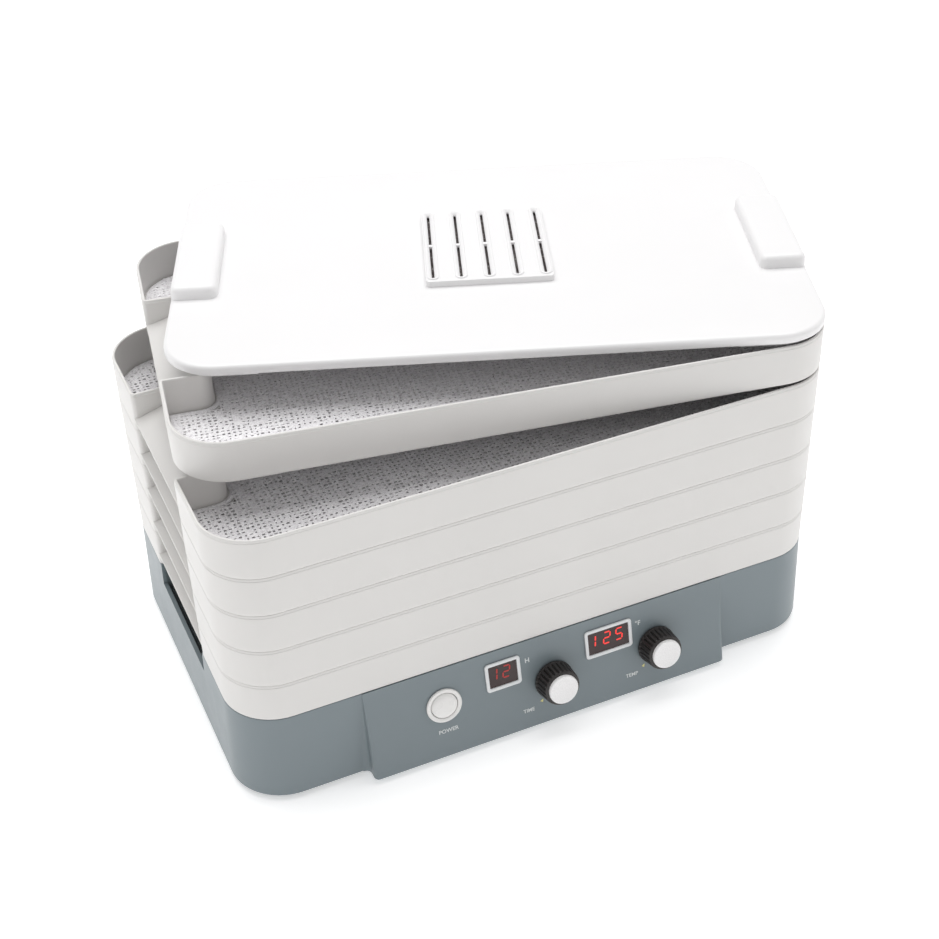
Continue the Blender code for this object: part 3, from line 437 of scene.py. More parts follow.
def noise(tree, scale, detail=2.0, rough=0.5, stretch=(1, 1, 1)):
    """Noise in the piece's own coordinates; scale is in features per metre."""
    mapping = tree.nodes.new("ShaderNodeMapping")
    mapping.inputs["Scale"].default_value = stretch
    texture = tree.nodes.new("ShaderNodeTexNoise")
    texture.inputs["Scale"].default_value = scale
    texture.inputs["Detail"].default_value = detail
    texture.inputs["Roughness"].default_value = rough
    tree.links.new(own_coordinates(tree), mapping.inputs["Vector"])
    tree.links.new(mapping.outputs["Vector"], texture.inputs["Vector"])
    return texture.outputs["Fac"]


def remap(tree, value, low, high, start=0.0, end=1.0):
    """A value that runs from low to high while the given one runs from start to end."""
    node = tree.nodes.new("ShaderNodeMapRange")
    node.inputs["From Min"].default_value = start
    node.inputs["From Max"].default_value = end
    node.inputs["To Min"].default_value = low
    node.inputs["To Max"].default_value = high
    tree.links.new(value, node.inputs["Value"])
    return node.outputs["Result"]


def mixed(tree, factor, first, second):
    """A colour between two, which are colours or sockets."""
    node = tree.nodes.new("ShaderNodeMix")
    node.data_type = "RGBA"
    tree.links.new(factor, node.inputs["Factor"])
    for socket, value in (("A", first), ("B", second)):
        target = next(s for s in node.inputs if s.name == socket and s.type == "RGBA")
        if isinstance(value, bpy.types.NodeSocket):
            tree.links.new(value, target)
        else:
            target.default_value = (*value, 1)
    return next(s for s in node.outputs if s.type == "RGBA")


def bump(tree, bsdf, height, distance, strength, under=None):
    """Relief of the surface, over another relief if there is one under it."""
    node = tree.nodes.new("ShaderNodeBump")
    node.inputs["Distance"].default_value = distance
    node.inputs["Strength"].default_value = strength
    tree.links.new(height, node.inputs["Height"])
    if under is not None:
        tree.links.new(under, node.inputs["Normal"])
    tree.links.new(node.outputs["Normal"], bsdf.inputs["Normal"])
    return node.outputs["Normal"]


def tint(tree, bsdf, factor, first, second, socket="Base Color"):
    """Links a mix of two colours or sockets to the shader."""
    tree.links.new(mixed(tree, factor, first, second), bsdf.inputs[socket])


def tinted(color, factor):
    return tuple(min(1.0, c * factor) for c in color)


def moulded(name, color, roughness, grain=900, grain_depth=0.00004, variation=0.03, spread=0.06,
            wave=0.0006, **sockets):
    """Moulded plastic: faint clouding of the colour, uneven gloss and a fine moulded grain."""
    mat, tree, bsdf = shader(name, color, roughness, **sockets)
    clouds = noise(tree, scale=14, detail=3)
    tint(tree, bsdf, clouds, tinted(color, 1 - variation), tinted(color, 1 + variation))
    patches = noise(tree, scale=60, detail=4, rough=0.6)
    gloss = remap(tree, patches, roughness - spread, roughness + spread, start=0.3, end=0.7)
    tree.links.new(gloss, bsdf.inputs["Roughness"])
    uneven = bump(tree, bsdf, noise(tree, scale=25, detail=1), distance=wave, strength=0.12)
    fine = noise(tree, scale=grain, detail=3, rough=0.6)
    bump(tree, bsdf, fine, distance=grain_depth, strength=0.6, under=uneven)
    return mat


def brushed(name, color, roughness, stretch=(1, 30, 30), metallic=1.0):
    """Drawn or plated metal, with fine streaks along X and darker patches."""
    mat, tree, bsdf = shader(name, color, roughness, metallic)
    streaks = noise(tree, scale=220, detail=4, rough=0.7, stretch=stretch)
    tint(tree, bsdf, streaks, tinted(color, 0.82), tinted(color, 1.08))
    tree.links.new(remap(tree, streaks, roughness - 0.1, roughness + 0.14), bsdf.inputs["Roughness"])
    bump(tree, bsdf, streaks, distance=0.00005, strength=0.5)
    return mat


def liner_material():
    """White mesh sheet: pale filaments over greyer, slightly rough ones; that grey, which follows the
    weave's relief, is painted shade.
    """
    mat, tree, bsdf = shader("woven_white", (0.80, 0.79, 0.80), 0.5)
    strands = noise(tree, scale=620, detail=3, rough=0.7, stretch=(1, 2.2, 1))
    fine = remap(tree, noise(tree, scale=1500, detail=2), 0, 1, start=0.35, end=0.65)
    # The lower filaments' grey is painted shade under the raised ones; the fine noise only makes that shade
    # uneven.
    under = mixed(tree, fine, (0.60, 0.57, 0.60), (0.80, 0.78, 0.80))
    tint(tree, bsdf, remap(tree, strands, 0, 1, start=0.38, end=0.56), under, (0.95, 0.94, 0.95))
    bump(tree, bsdf, strands, distance=0.0005, strength=0.7)
    return mat


def spun_cap():
    """Knob cap: white, with very fine concentric turning marks."""
    mat, tree, bsdf = shader("spun_white", (0.86, 0.85, 0.85), 0.28, Coat_Weight=0.2, Coat_Roughness=0.1)
    rings = tree.nodes.new("ShaderNodeTexWave")
    rings.wave_type = "RINGS"
    rings.rings_direction = "Z"
    rings.inputs["Scale"].default_value = 900
    rings.inputs["Distortion"].default_value = 0.6
    tree.links.new(own_coordinates(tree), rings.inputs["Vector"])
    speckle = remap(tree, noise(tree, scale=1400, detail=3, rough=0.6), 0, 1, start=0.4, end=0.7)
    tint(tree, bsdf, speckle, (0.92, 0.91, 0.91), (0.80, 0.79, 0.79))
    bump(tree, bsdf, rings.outputs["Fac"], distance=0.00003, strength=0.35)
    return mat


def screen_dark():
    """The vent's screen: dark brownish wires with pale glints."""
    mat, tree, bsdf = shader("vent_wire", (0.07, 0.05, 0.05), 0.5)
    glints = remap(tree, noise(tree, scale=620, detail=2, rough=0.6), 0, 1, start=0.56, end=0.64)
    tint(tree, bsdf, glints, (0.060, 0.042, 0.042), (0.55, 0.52, 0.50))
    bump(tree, bsdf, glints, distance=0.0002, strength=0.5)
    return mat


def foam_black():
    """Filter foam: dark, with small open cells and painted shade in their hollows."""
    mat, tree, bsdf = shader("filter_foam", (0.03, 0.034, 0.036), 0.9)
    cells = tree.nodes.new("ShaderNodeTexVoronoi")
    cells.inputs["Scale"].default_value = 700
    tree.links.new(own_coordinates(tree), cells.inputs["Vector"])
    # Each cell is darkest at its hollow middle, where the relief is lowest: painted shade.
    tint(tree, bsdf, cells.outputs["Distance"], (0.012, 0.014, 0.015), (0.060, 0.068, 0.072))
    bump(tree, bsdf, cells.outputs["Distance"], distance=0.0008, strength=0.8)
    return mat


def board_green():
    """Solder-masked board, whose copper tracks show through as paler green."""
    mat, tree, bsdf = shader("solder_mask", (0.02, 0.13, 0.06), 0.35, Coat_Weight=0.3)
    tracks = noise(tree, scale=180, detail=0, stretch=(1, 0.2, 1))
    copper = remap(tree, tracks, 0, 1, start=0.48, end=0.52)
    tint(tree, bsdf, copper, (0.015, 0.10, 0.045), (0.05, 0.24, 0.11))
    bump(tree, bsdf, tracks, distance=0.0002, strength=0.3)
    return mat


def window_material():
    """Dark red filter window over the digits."""
    mat, tree, bsdf = shader("window_tint", (0.040, 0.020, 0.020), 0.10, Coat_Weight=0.15,
                             Coat_Roughness=0.04, Specular_IOR_Level=0.35)
    haze = noise(tree, scale=160, detail=3)
    tint(tree, bsdf, haze, (0.030, 0.017, 0.017), (0.048, 0.025, 0.024))
    tree.links.new(remap(tree, haze, 0.08, 0.2), bsdf.inputs["Roughness"])
    return mat


def glowing(name, color, strength):
    """An LED segment: a red glow, a little uneven."""
    mat, tree, bsdf = shader(name, tinted(color, 0.4), 0.5, Emission_Color=(*color, 1),
                             Emission_Strength=strength)
    tint(tree, bsdf, noise(tree, scale=900, detail=1), tinted(color, 0.85), color, "Emission Color")
    return mat


def printed(name, color):
    """Screen-printed ink."""
    mat, tree, bsdf = shader(name, color, 0.55)
    tint(tree, bsdf, noise(tree, scale=1200, detail=2), tinted(color, 0.86), color)
    return mat


TRAY_WHITE = moulded("tray_white", (0.724, 0.710, 0.692), 0.42)
LID_WHITE = moulded("lid_white", (0.832, 0.825, 0.828), 0.34, grain=2600, grain_depth=0.000006,
                    variation=0.012, spread=0.03, wave=0.00005)
BASE_GREY = moulded("base_grey", (0.194, 0.232, 0.250), 0.34, grain=2600, grain_depth=0.00004,
                    variation=0.02, spread=0.03, wave=0.0001)
KNOB_BLACK = moulded("knob_black", (0.022, 0.018, 0.017), 0.38, grain=1800, grain_depth=0.00004)
BUTTON_WHITE = moulded("button_white", (0.84, 0.83, 0.815), 0.3, grain=1500, grain_depth=0.00001,
                       variation=0.01)
BEZEL_GREY = moulded("bezel_grey", (0.76, 0.77, 0.78), 0.3, grain=1500, grain_depth=0.00001,
                     variation=0.02)
LINER_WHITE = liner_material()
CAP_WHITE = spun_cap()
FILTER_BLACK = foam_black()
SCREEN_DARK = screen_dark()
WINDOW_RED = window_material()
MODULE_BLACK = moulded("led_black", (0.02, 0.015, 0.015), 0.5, grain=1500)
FAN_BLACK = moulded("fan_plastic", (0.045, 0.045, 0.05), 0.45, grain=700, grain_depth=0.00006)
RUBBER = moulded("rubber_dark", (0.03, 0.03, 0.03), 0.85, grain=1600, grain_depth=0.00012)
STEEL = brushed("zinc_steel", (0.62, 0.62, 0.61), 0.36)
MOTOR_DARK = brushed("motor_can", (0.22, 0.22, 0.23), 0.42, (4, 4, 40), 0.85)
ELEMENT = brushed("heater_sheath", (0.36, 0.31, 0.27), 0.5, (1, 1, 1), 0.9)
BOARD_GREEN = board_green()
LED_BRIGHT = glowing("led_bright", (1.0, 0.045, 0.035), 0.95)
LED_DIM = glowing("led_dim", (0.55, 0.03, 0.025), 0.45)
INK_WHITE = printed("ink_white", (0.78, 0.80, 0.80))
INK_YELLOW = printed("ink_yellow", (0.80, 0.74, 0.30))

SLOT_MATERIALS = {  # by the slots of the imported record
    "tray_white": TRAY_WHITE, "liner_white": LINER_WHITE, "lid_white": LID_WHITE,
    "base_grey": BASE_GREY, "knob_black": KNOB_BLACK, "cap_white": CAP_WHITE,
    "bezel_grey": BEZEL_GREY, "window_red": WINDOW_RED, "led_black": MODULE_BLACK,
    "filter_black": FILTER_BLACK, "board_green": BOARD_GREEN, "steel": STEEL,
    "motor_dark": MOTOR_DARK, "element_metal": ELEMENT, "fan_plastic": FAN_BLACK,
    "rubber_dark": RUBBER,
}


# ---------------- trays
def tray_shell():
    """The tray's wall with its rounded rim, finger ledges and corner lips."""
    band, low, high = PITCH - RIM_BAND, GAP + FLAT_FROM, PITCH - FLAT_FROM
    section = fillet([
        (0, GAP, 0.0004, 2),
        (0, low),
        (0, band - 0.0004),
        (0, band),
        (RIM_SET_BACK, band + 0.0005),
        (RIM_SET_BACK, PITCH, RIM_R, 3),
        (TRAY_WALL, PITCH, RIM_R, 3),
        (TRAY_WALL, high),
        (TRAY_WALL, low),
        (TRAY_WALL, GAP, 0.0003, 1),
    ])
    parts = [swept(tray_outline, section)]
    parts += [finger_ledge(side) for side in (-1, 1)]
    parts += corner_lips(tray_outline, LIP_ROOT)
    return joined(parts)


def recess_wall_x(y):
    """How far out the recess's wall is at y: back wall, rounded corner, then the mouth."""
    y = abs(y)
    start, end_wall = NOTCH_HALF - BACK_R, NOTCH_HALF - 0.0005
    if y <= start:
        return NOTCH_X
    if y <= end_wall:
        return NOTCH_X + BACK_R - math.sqrt(BACK_R ** 2 - (y - start) ** 2)
    return WIDTH / 2 - MOUTH_R + math.sqrt(max(MOUTH_R ** 2 - (NOTCH_HALF + MOUTH_R - y) ** 2, 0))


def finger_ledge(side):
    """The sloping ledge of one hand recess, lofted from end to end."""
    outer_x, embed = WIDTH / 2 - 0.0002, 0.0010
    slope = (LEDGE_OUTER - LEDGE_INNER) / (outer_x - NOTCH_X)
    half = [NOTCH_HALF - BACK_R + BACK_R * math.sin(math.radians(turn)) for turn in LEDGE_TURNS]
    half += [NOTCH_HALF + MOUTH_R * share for share in LEDGE_SHARES]
    rings = []
    for y in [-y for y in reversed(half)] + half:
        inner_x = recess_wall_x(y) - embed
        top = LEDGE_INNER + slope * (inner_x - NOTCH_X)
        section = fillet([(inner_x, top), (outer_x, LEDGE_OUTER, LEDGE_R, 3),
                          (outer_x, LEDGE_OUTER - LEDGE_T, LEDGE_R, 3), (inner_x, top - LEDGE_T)])
        rings.append([(side * x, y, z) for x, z in section])
    return loft(rings)


def corner_lip(outline, side_x, side_y, high):
    """One corner's nesting lip: a short wall that follows the corner inside the wall line."""
    middle_x, middle_y, near = WIDTH / 2 - CORNER, DEPTH / 2 - CORNER, 1e-5
    inner = LIP_INSET + LIP_T
    rings = []
    for inset, z in ((LIP_INSET, -LIP_H), (LIP_INSET, high), (inner, high), (inner, -LIP_H)):
        arc = [p for p in outline(inset)
               if p.x * side_x > middle_x - near and p.y * side_y > middle_y - near]
        arc.sort(key=lambda p: math.atan2(p.y * side_y - middle_y, p.x * side_x - middle_x))
        ring = [(side_x * (WIDTH / 2 - inset), side_y * LIP_END)]
        ring += [(p.x, p.y) for p in arc]
        ring += [(side_x * LIP_START, side_y * (DEPTH / 2 - inset))]
        rings.append(level(ring, z))
    return loft([list(column) for column in zip(*rings)])


def corner_lips(outline, high):
    return [corner_lip(outline, side_x, side_y, high) for side_x in (-1, 1) for side_y in (-1, 1)]


def tray_floor():
    """The floor's grid of bars, with a solid border inside the wall."""
    lines_x, lines_y = grid_lines(WIDTH / 2), grid_lines(DEPTH / 2)
    skin, overlap = 0.0001, 0.0005
    bm = bmesh.new()
    points = {}
    for i in range(len(lines_x) - 1):
        for j in range(len(lines_y) - 1):
            x, y = (lines_x[i] + lines_x[i + 1]) / 2, (lines_y[j] + lines_y[j + 1]) / 2
            if (i % 2 and j % 2) or not in_tray(x, y, TRAY_WALL + 0.001):
                continue
            corners = [(i, j), (i + 1, j), (i + 1, j + 1), (i, j + 1)]
            for a, b in corners:
                if (a, b) not in points:
                    points[a, b] = bm.verts.new((lines_x[a], lines_y[b], FLOOR_Z + skin))
            bm.faces.new([points[key] for key in corners])
    bmesh.ops.solidify(bm, geom=bm.faces, thickness=-(FLOOR_T - 2 * skin))
    outer, inner, top = TRAY_WALL - overlap, TRAY_WALL + BORDER, FLOOR_Z + FLOOR_T
    border = [(outer, FLOOR_Z), (outer, top), (inner, top), (inner, FLOOR_Z)]
    return joined([as_mesh(bm), swept(tray_outline, border)])


def grid_lines(half):
    """Edges of bars and gaps in turn across a span that is centred on a bar."""
    count = int(half / BAR_PITCH) + 1
    return [k * BAR_PITCH + edge for k in range(-count, count + 1) for edge in (-BAR / 2, BAR / 2)]


def weave_hole(bm, rng, x, y, pitch, hole, wave):
    """The corners of an uneven hole, in the cell whose middle is at x, y."""
    x += rng.uniform(-HOLE_JITTER, HOLE_JITTER) * pitch
    y += rng.uniform(-HOLE_JITTER, HOLE_JITTER) * pitch
    half_w = rng.uniform(*hole) * pitch / 2 * HOLE_STRETCH
    half_h = rng.uniform(*hole) * pitch / 2
    z = rng.uniform(-wave, wave) / 2
    return [bm.verts.new((x + a * half_w, y + b * half_h, z))
            for a, b in ((-1, -1), (1, -1), (1, 1), (-1, 1))]


def open_weave(half_x, half_y, pitch, thickness, keep, seed, hole=(0.20, 0.52), skip=0.16, wave=0.0003):
    """A thin sheet full of small uneven holes, one in nearly every cell of a grid."""
    rng = random.Random(seed)
    bm = bmesh.new()
    nodes = {}

    def node(i, j):
        if (i, j) not in nodes:
            x, y = (k * pitch + rng.uniform(-NODE_JITTER, NODE_JITTER) * pitch for k in (i, j))
            nodes[i, j] = bm.verts.new((x, y, rng.uniform(-wave, wave)))
        return nodes[i, j]

    count_x, count_y = int(half_x / pitch) + 1, int(half_y / pitch) + 1
    for i in range(-count_x, count_x):
        for j in range(-count_y, count_y):
            x, y = (i + 0.5) * pitch, (j + 0.5) * pitch
            if not keep(x, y):
                continue
            outer = [node(i, j), node(i + 1, j), node(i + 1, j + 1), node(i, j + 1)]
            if rng.random() < skip:
                bm.faces.new(outer)
                continue
            inner = weave_hole(bm, rng, x, y, pitch, hole, wave)
            for k in range(4):
                bm.faces.new((outer[k], outer[(k + 1) % 4], inner[(k + 1) % 4], inner[k]))
    bmesh.ops.recalc_face_normals(bm, faces=bm.faces)
    bmesh.ops.solidify(bm, geom=bm.faces, thickness=thickness)
    return as_mesh(bm)


def liner_mesh():
    """The loose mesh sheet: an open weave with a plain welded border."""
    weave = open_weave(WIDTH / 2, DEPTH / 2, LINER_PITCH, LINER_T * 0.8,
                       lambda x, y: in_tray(x, y, LINER_INSET + LINER_PITCH * 0.55), seed=7)
    outer, inner, half = LINER_INSET, LINER_INSET + LINER_BORDER, LINER_T / 2
    corners = [(outer, -half), (outer, half), (inner, half), (inner, -half)]
    border = fillet([(*corner, 0.0002, 1) for corner in corners])
    return joined([weave, swept(tray_outline, border)])


def build_trays():
    """The six trays, each with its grid floor and its mesh sheet."""
    shell, floor, liner = tray_shell(), tray_floor(), liner_mesh()
    on_floor = Matrix.Translation((0, 0, FLOOR_Z + FLOOR_T + GAP + LINER_T / 2))
    for number in range(1, TRAYS + 1):
        body, place = f"tray_{number}", tray_place(number)
        piece(f"tray_{number}_shell", shell, TRAY_WHITE, body, place, [f"tray_{number}"],
              sharp=28)
        piece(f"tray_{number}_floor", floor, TRAY_WHITE, body, place)
        piece(f"mesh_liner_{number}", liner, LINER_WHITE, body, place @ on_floor, [f"liner_{number}"],
              sharp=60)


# ---------------- lid
def vent_outline(inset):
    return rectangle(VENT_HALF_X - inset, VENT_HALF_Y - inset, VENT_R, CORNER_STEPS, (0, VENT_Y))


def lid_shell(top):
    """The lid's thin skin with its turned-down edge, corner lips and hand pads."""
    inside, seat = top - LID_SKIN, vent_outline(VENT_SEAT)
    section = fillet([(LID_REACH, top), (0, top, LID_EDGE_R, 6), (0, GAP, 0.0006, 2),
                      (LID_SKIN, GAP, 0.0004, 1), (LID_SKIN, inside, 0.0012, 3), (LID_REACH, inside)])
    rings = [level(seat, top)]
    rings += [level(stack_outline(inset), z) for inset, z in section]
    rings += [level(seat, inside)]
    parts = [loft(rings, cyclic=True)]
    parts += corner_lips(stack_outline, LID_LIP_ROOT)
    parts += [hand_pad(side, top) for side in (-1, 1)]
    return joined(parts)


def vent_screen():
    """The fine mesh under the vent's slots."""
    half_x, half_y = VENT_HALF_X - SCREEN_INSET, VENT_HALF_Y - SCREEN_INSET
    return open_weave(VENT_HALF_X, VENT_HALF_Y, SCREEN_PITCH, SCREEN_T,
                      lambda x, y: abs(x) < half_x and abs(y) < half_y, seed=3,
                      hole=(0.42, 0.54), skip=0.0, wave=0.0001)


def build_lid():
    """The lid, its slotted vent and the screen under the slots."""
    top = GAP + LID_T
    on_seat = LID_PLACE @ Matrix.Translation((0, VENT_Y, top + SCREEN_LIFT))
    piece("lid_shell", lid_shell(top), LID_WHITE, "lid", LID_PLACE, ["lid"], sharp=32)
    piece("vent_face", vent_face(top), LID_WHITE, "lid", LID_PLACE, ["vent_grille"],
          sharp=38)
    piece("vent_screen", vent_screen(), SCREEN_DARK, "lid", on_seat, ["vent_mesh"],
          sharp=60)


def hand_pad(side, top):
    """One raised hand pad: upright sides, and a full round along its top edges."""
    middle = (side * (WIDTH / 2 + NOTCH_X) / 2, 0)
    half_x = NOTCH_DEPTH / 2 - 0.0001

    def outline(inset):
        return rectangle(half_x - inset, PAD_HALF - inset, PAD_CORNER - inset, 6, middle)

    section = [(0, top - LID_EDGE_R), (PAD_DRAFT, top + PAD_H - PAD_R)]
    for k in range(1, PAD_STEPS + 1):
        angle = math.pi / 2 * k / PAD_STEPS
        inset = PAD_DRAFT + PAD_R * (1 - math.cos(angle))
        section.append((inset, top + PAD_H - PAD_R * (1 - math.sin(angle))))
    return swept(outline, section, cyclic=False)


def vent_face(top):
    """The raised plate with five slots, each in a rounded oval collar and bridged at its middle."""
    high = top + VENT_RISE
    inner = VENT_EDGE - 0.0001
    edge = fillet([(0, top), (0, high - 0.0002, 0.0002, 2), (VENT_EDGE, high), (VENT_EDGE, high - VENT_T),
                   (inner, high - VENT_T - 0.0004), (inner, top)])
    parts = [swept(vent_outline, edge)]
    slots = [[p + Vector((x, VENT_Y)) for p in stadium(SLOT_HALF, SLOT_R)] for x in SLOT_XS]
    parts.append(plate([vent_outline(VENT_EDGE)] + slots, high - VENT_T, high))
    collar = loft([level(stadium(SLOT_HALF, radius), high + z) for radius, z in COLLAR], cyclic=True)
    bridge = block((-BRIDGE_HALF, -BRIDGE_HALF, high - 0.0022), (BRIDGE_HALF, BRIDGE_HALF, high - 0.0004))
    for x in SLOT_XS:
        slot_place = Matrix.Translation((x, VENT_Y, 0))
        parts += [moved(collar, slot_place), moved(bridge, slot_place)]
    return joined(parts)


# ---------------- base
def both_sides(near, far, half_length, low, high):
    """A block in each side of the base."""
    blocks = []
    for side in (-1, 1):
        x_low, x_high = sorted((side * near, side * far))
        blocks.append(block((x_low, -half_length, low), (x_high, half_length, high)))
    return joined(blocks)


def base_steps():
    """What the base's wall gains and loses: deck, filter pockets, intakes and the panel's bay."""
    wall_x, front = WIDTH / 2 - BASE_WALL, -DEPTH / 2
    deck = plate([stack_outline(BASE_WALL / 2), circle(DUCT_R, DUCT_STEPS)], DECK_Z, DECK_Z + DECK_T)
    pockets = both_sides(NOTCH_X - POCKET_WALL, wall_x + BASE_WALL / 2, NOTCH_HALF + POCKET_WALL,
                         POCKET_Z, BASE_TOP - 0.0001)
    insides = both_sides(NOTCH_X, wall_x, NOTCH_HALF, POCKET_Z + POCKET_FLOOR, ABOVE_BASE)
    holes = both_sides(NOTCH_X + POCKET_LEDGE, wall_x - POCKET_LEDGE, NOTCH_HALF - POCKET_LEDGE,
                       BELOW_POCKET, IN_POCKET)
    intakes = both_sides(NOTCH_X + 0.001, wall_x + CUT, NOTCH_HALF - 0.0005, SILL_Z, ABOVE_BASE + 0.001)
    bay = block((-PANEL_HALF - GAP, front - CUT, 0), (PANEL_HALF + GAP, front + PANEL_BAY, 0.1))
    return [("UNION", deck), ("UNION", pockets), ("DIFFERENCE", insides), ("DIFFERENCE", holes),
            ("DIFFERENCE", intakes), ("DIFFERENCE", bay)]


def build_base():
    """The base's shell, with a rounded edge at its foot."""
    lean = FLARE * FLAT_FROM / BASE_H
    section = fillet([
        (-FLARE, FOOT_H, 0.0012, 3),
        (lean - FLARE, FOOT_H + FLAT_FROM),
        (-lean, BASE_TOP - FLAT_FROM),
        (0, BASE_TOP, 0.0006, 2),
        (BASE_WALL, BASE_TOP, 0.0004, 1),
        (BASE_WALL - FLARE, FOOT_H, 0.0004, 1),
    ])
    shell = boolean(swept(stack_outline, section), base_steps())
    piece("base_shell", shell, BASE_GREY, "base", STACK, ["base_housing"], sharp=30)


# ---------------- control panel
def panel_plan(z, shrink=0.0):
    """The panel's plan at a height: its face, rounded edges, and the coves that meet the base."""
    drop = (BASE_TOP - z) / BASE_H
    wall, face = -FLARE * drop - 0.00004, -PANEL_OUT * drop + shrink
    depth = max(wall - face, 0.0004)
    most = depth * 0.48
    half, front = PANEL_HALF - shrink, -DEPTH / 2
    right = [(half + PANEL_COVE_R, front + PANEL_LAP), (half + PANEL_COVE_R, front + wall),
             (half, front + wall, min(PANEL_COVE_R, most), 6),
             (half, front + wall - depth, min(PANEL_EDGE_R, most), 6)]
    return fillet(right + [(-x, y, *rounding) for x, y, *rounding in reversed(right)])


def panel_hollow():
    """The wedge-shaped space behind the panel's face."""
    low, high = FOOT_H + PANEL_T, BASE_TOP - GAP - PANEL_ROOF
    high_y = -DEPTH / 2 + PANEL_T / math.cos(TILT)
    low_y, half = high_y - PANEL_OUT, PANEL_HALF - PANEL_T
    return loft([[(x, PANEL_BACK, low), (x, PANEL_BACK, high), (x, high_y, high), (x, low_y, low)]
                 for x in (-half, half)])


def panel_holes():
    """Cutters through the face for the button, the knobs' stems and the displays."""
    out = CUT / 2
    bored = [(BUTTON_AT, BEZEL_R - BEZEL_LAP)]
    bored += [(spot, STEM_R + STEM_ROOM) for spot in (TIME_KNOB_AT, TEMP_KNOB_AT)]
    holes = [moved(turned([(radius, -CUT), (radius, out)]), Matrix.Translation((*spot, 0)))
             for spot, radius in bored]
    for spot, (width, height) in ((TIME_DISPLAY_AT, TIME_FRAME), (TEMP_DISPLAY_AT, TEMP_FRAME)):
        opening = rectangle(width / 2 - FRAME_LAP, height / 2 - FRAME_LAP, 0.0008, 2, spot)
        holes.append(plate([opening], -CUT, out))
    return joined(holes)


def build_panel():
    """The sloping control panel, lofted up from its rounded foot and hollowed."""
    bottom, top, round_h = FOOT_H, BASE_TOP - GAP, 0.0010
    heights = [(bottom, 0.0010), (bottom + 0.0003, 0.0004), (bottom + round_h, 0)]
    heights += [(bottom + round_h + (top - bottom - round_h) * k / PANEL_ROWS, 0)
                for k in range(1, PANEL_ROWS + 1)]
    shell = loft([level(panel_plan(z, shrink), z) for z, shrink in heights])
    holes = moved(panel_holes(), STACK.inverted() @ FACE)
    shell = boolean(shell, [("DIFFERENCE", panel_hollow()), ("DIFFERENCE", holes)])
    piece("panel_shell", shell, BASE_GREY, "base", STACK, ["control_panel"], sharp=24)


def build_button():
    """The domed power button in its round bezel."""
    at = FACE @ Matrix.Translation((*BUTTON_AT, 0))
    hole_r, root_r, root = BUTTON_R + 0.0004, BEZEL_R - 0.0022, -0.0030
    bezel = fillet([(BEZEL_R, GAP, 0.0002, 1), (BEZEL_R, 0.0013, 0.0005, 3),
                    (BEZEL_R - 0.0006, 0.0019, 0.0005, 3), (hole_r, 0.0014, 0.0003, 2),
                    (hole_r, root), (root_r, root), (root_r, GAP)])
    piece("button_bezel", ring_turned(bezel), BUTTON_WHITE, "base", at, ["power_bezel"])
    dome = [(0, 0.0031), (0.0030, 0.00305), (0.0060, 0.0028), (0.0078, 0.0024),
            (BUTTON_R - 0.0005, 0.0017), (BUTTON_R - 0.0001, 0.0012), (BUTTON_R, 0.0006)]
    plunger = [(BUTTON_R, -0.0036), (0.003, -0.0036), (0.003, -0.0050), (0, -0.0050)]
    piece("button_cap", turned(dome + plunger), BUTTON_WHITE, "power_button", at, ["power_button"])


def digit_segments(lit):
    """The lit bars of one seven-segment digit, as thin hexagons; its lower left corner is at 0, 0."""
    height, width, middle = DIGIT_H, DIGIT_W, DIGIT_H / 2
    ends = {"a": ((0, height), (width, height)), "b": ((width, height), (width, middle)),
            "c": ((width, middle), (width, 0)), "d": ((0, 0), (width, 0)), "e": ((0, middle), (0, 0)),
            "f": ((0, height), (0, middle)), "g": ((0, middle), (width, middle))}
    bars = []
    for key in lit:
        start, end = (Vector(p) for p in ends[key])
        along = (end - start).normalized()
        across = Vector((-along.y, along.x)) * DIGIT_BAR / 2
        tip = along * DIGIT_BAR / 2
        start, end = start + along * DIGIT_GAP, end - along * DIGIT_GAP
        outline = [start, start + tip + across, end - tip + across,
                   end, end - tip - across, start + tip - across]
        leaning = [Vector((p.x + p.y * DIGIT_LEAN, p.y)) for p in outline]
        bars.append(plate([leaning], 0, DIGIT_T))
    return joined(bars)


def display_digits(digits):
    """The lit digits of a display."""
    marks = []
    for mark, x in digits:
        left = x - (DIGIT_W if mark == "1" else DIGIT_W / 2)
        place = Matrix.Translation((left, DIGIT_Y, 0.00021))
        marks.append(moved(digit_segments(LIT_BARS[mark]), place))
    return joined(marks)


def build_display(label, spot, size, digits, glow):
    """A display's frame, its dark window and the digits that shine through it."""
    half_x, half_y = size[0] / 2, size[1] / 2
    at = FACE @ Matrix.Translation((*spot, 0))

    def outline(inset):
        return rectangle(half_x - inset, half_y - inset, max(FRAME_R - inset, 0.0008), 5)

    root, root_inset = -0.0030, 0.0015
    section = fillet([(0, GAP), (0, 0.0014, 0.0005, 3), (FRAME_EDGE, 0.0011, 0.0003, 2),
                      (FRAME_EDGE, root), (root_inset, root), (root_inset, GAP)])
    piece(f"{label}_frame", swept(outline, section), BEZEL_GREY, "base", at,
          [f"{label}_display_frame"])
    pane = plate([outline(FRAME_EDGE - 0.0004)], -0.0012, 0.0002)
    piece(f"{label}_window", pane, WINDOW_RED, "base", at, [f"{label}_display_window"],
          sharp=30)
    piece(f"{label}_digits", display_digits(digits), glow, "base", at, sharp=None)


def fluted_ring(radius, z, depth):
    """One ring of a knob's side, with a groove of that depth at every flute."""
    count = FLUTES * FLUTE_STEPS
    points = []
    for k in range(count):
        groove = max(0.0, math.cos(math.tau * k / FLUTE_STEPS)) ** FLUTE_POWER
        r, angle = radius - depth * groove, math.tau * k / count
        points.append((r * math.cos(angle), r * math.sin(angle), z))
    return points


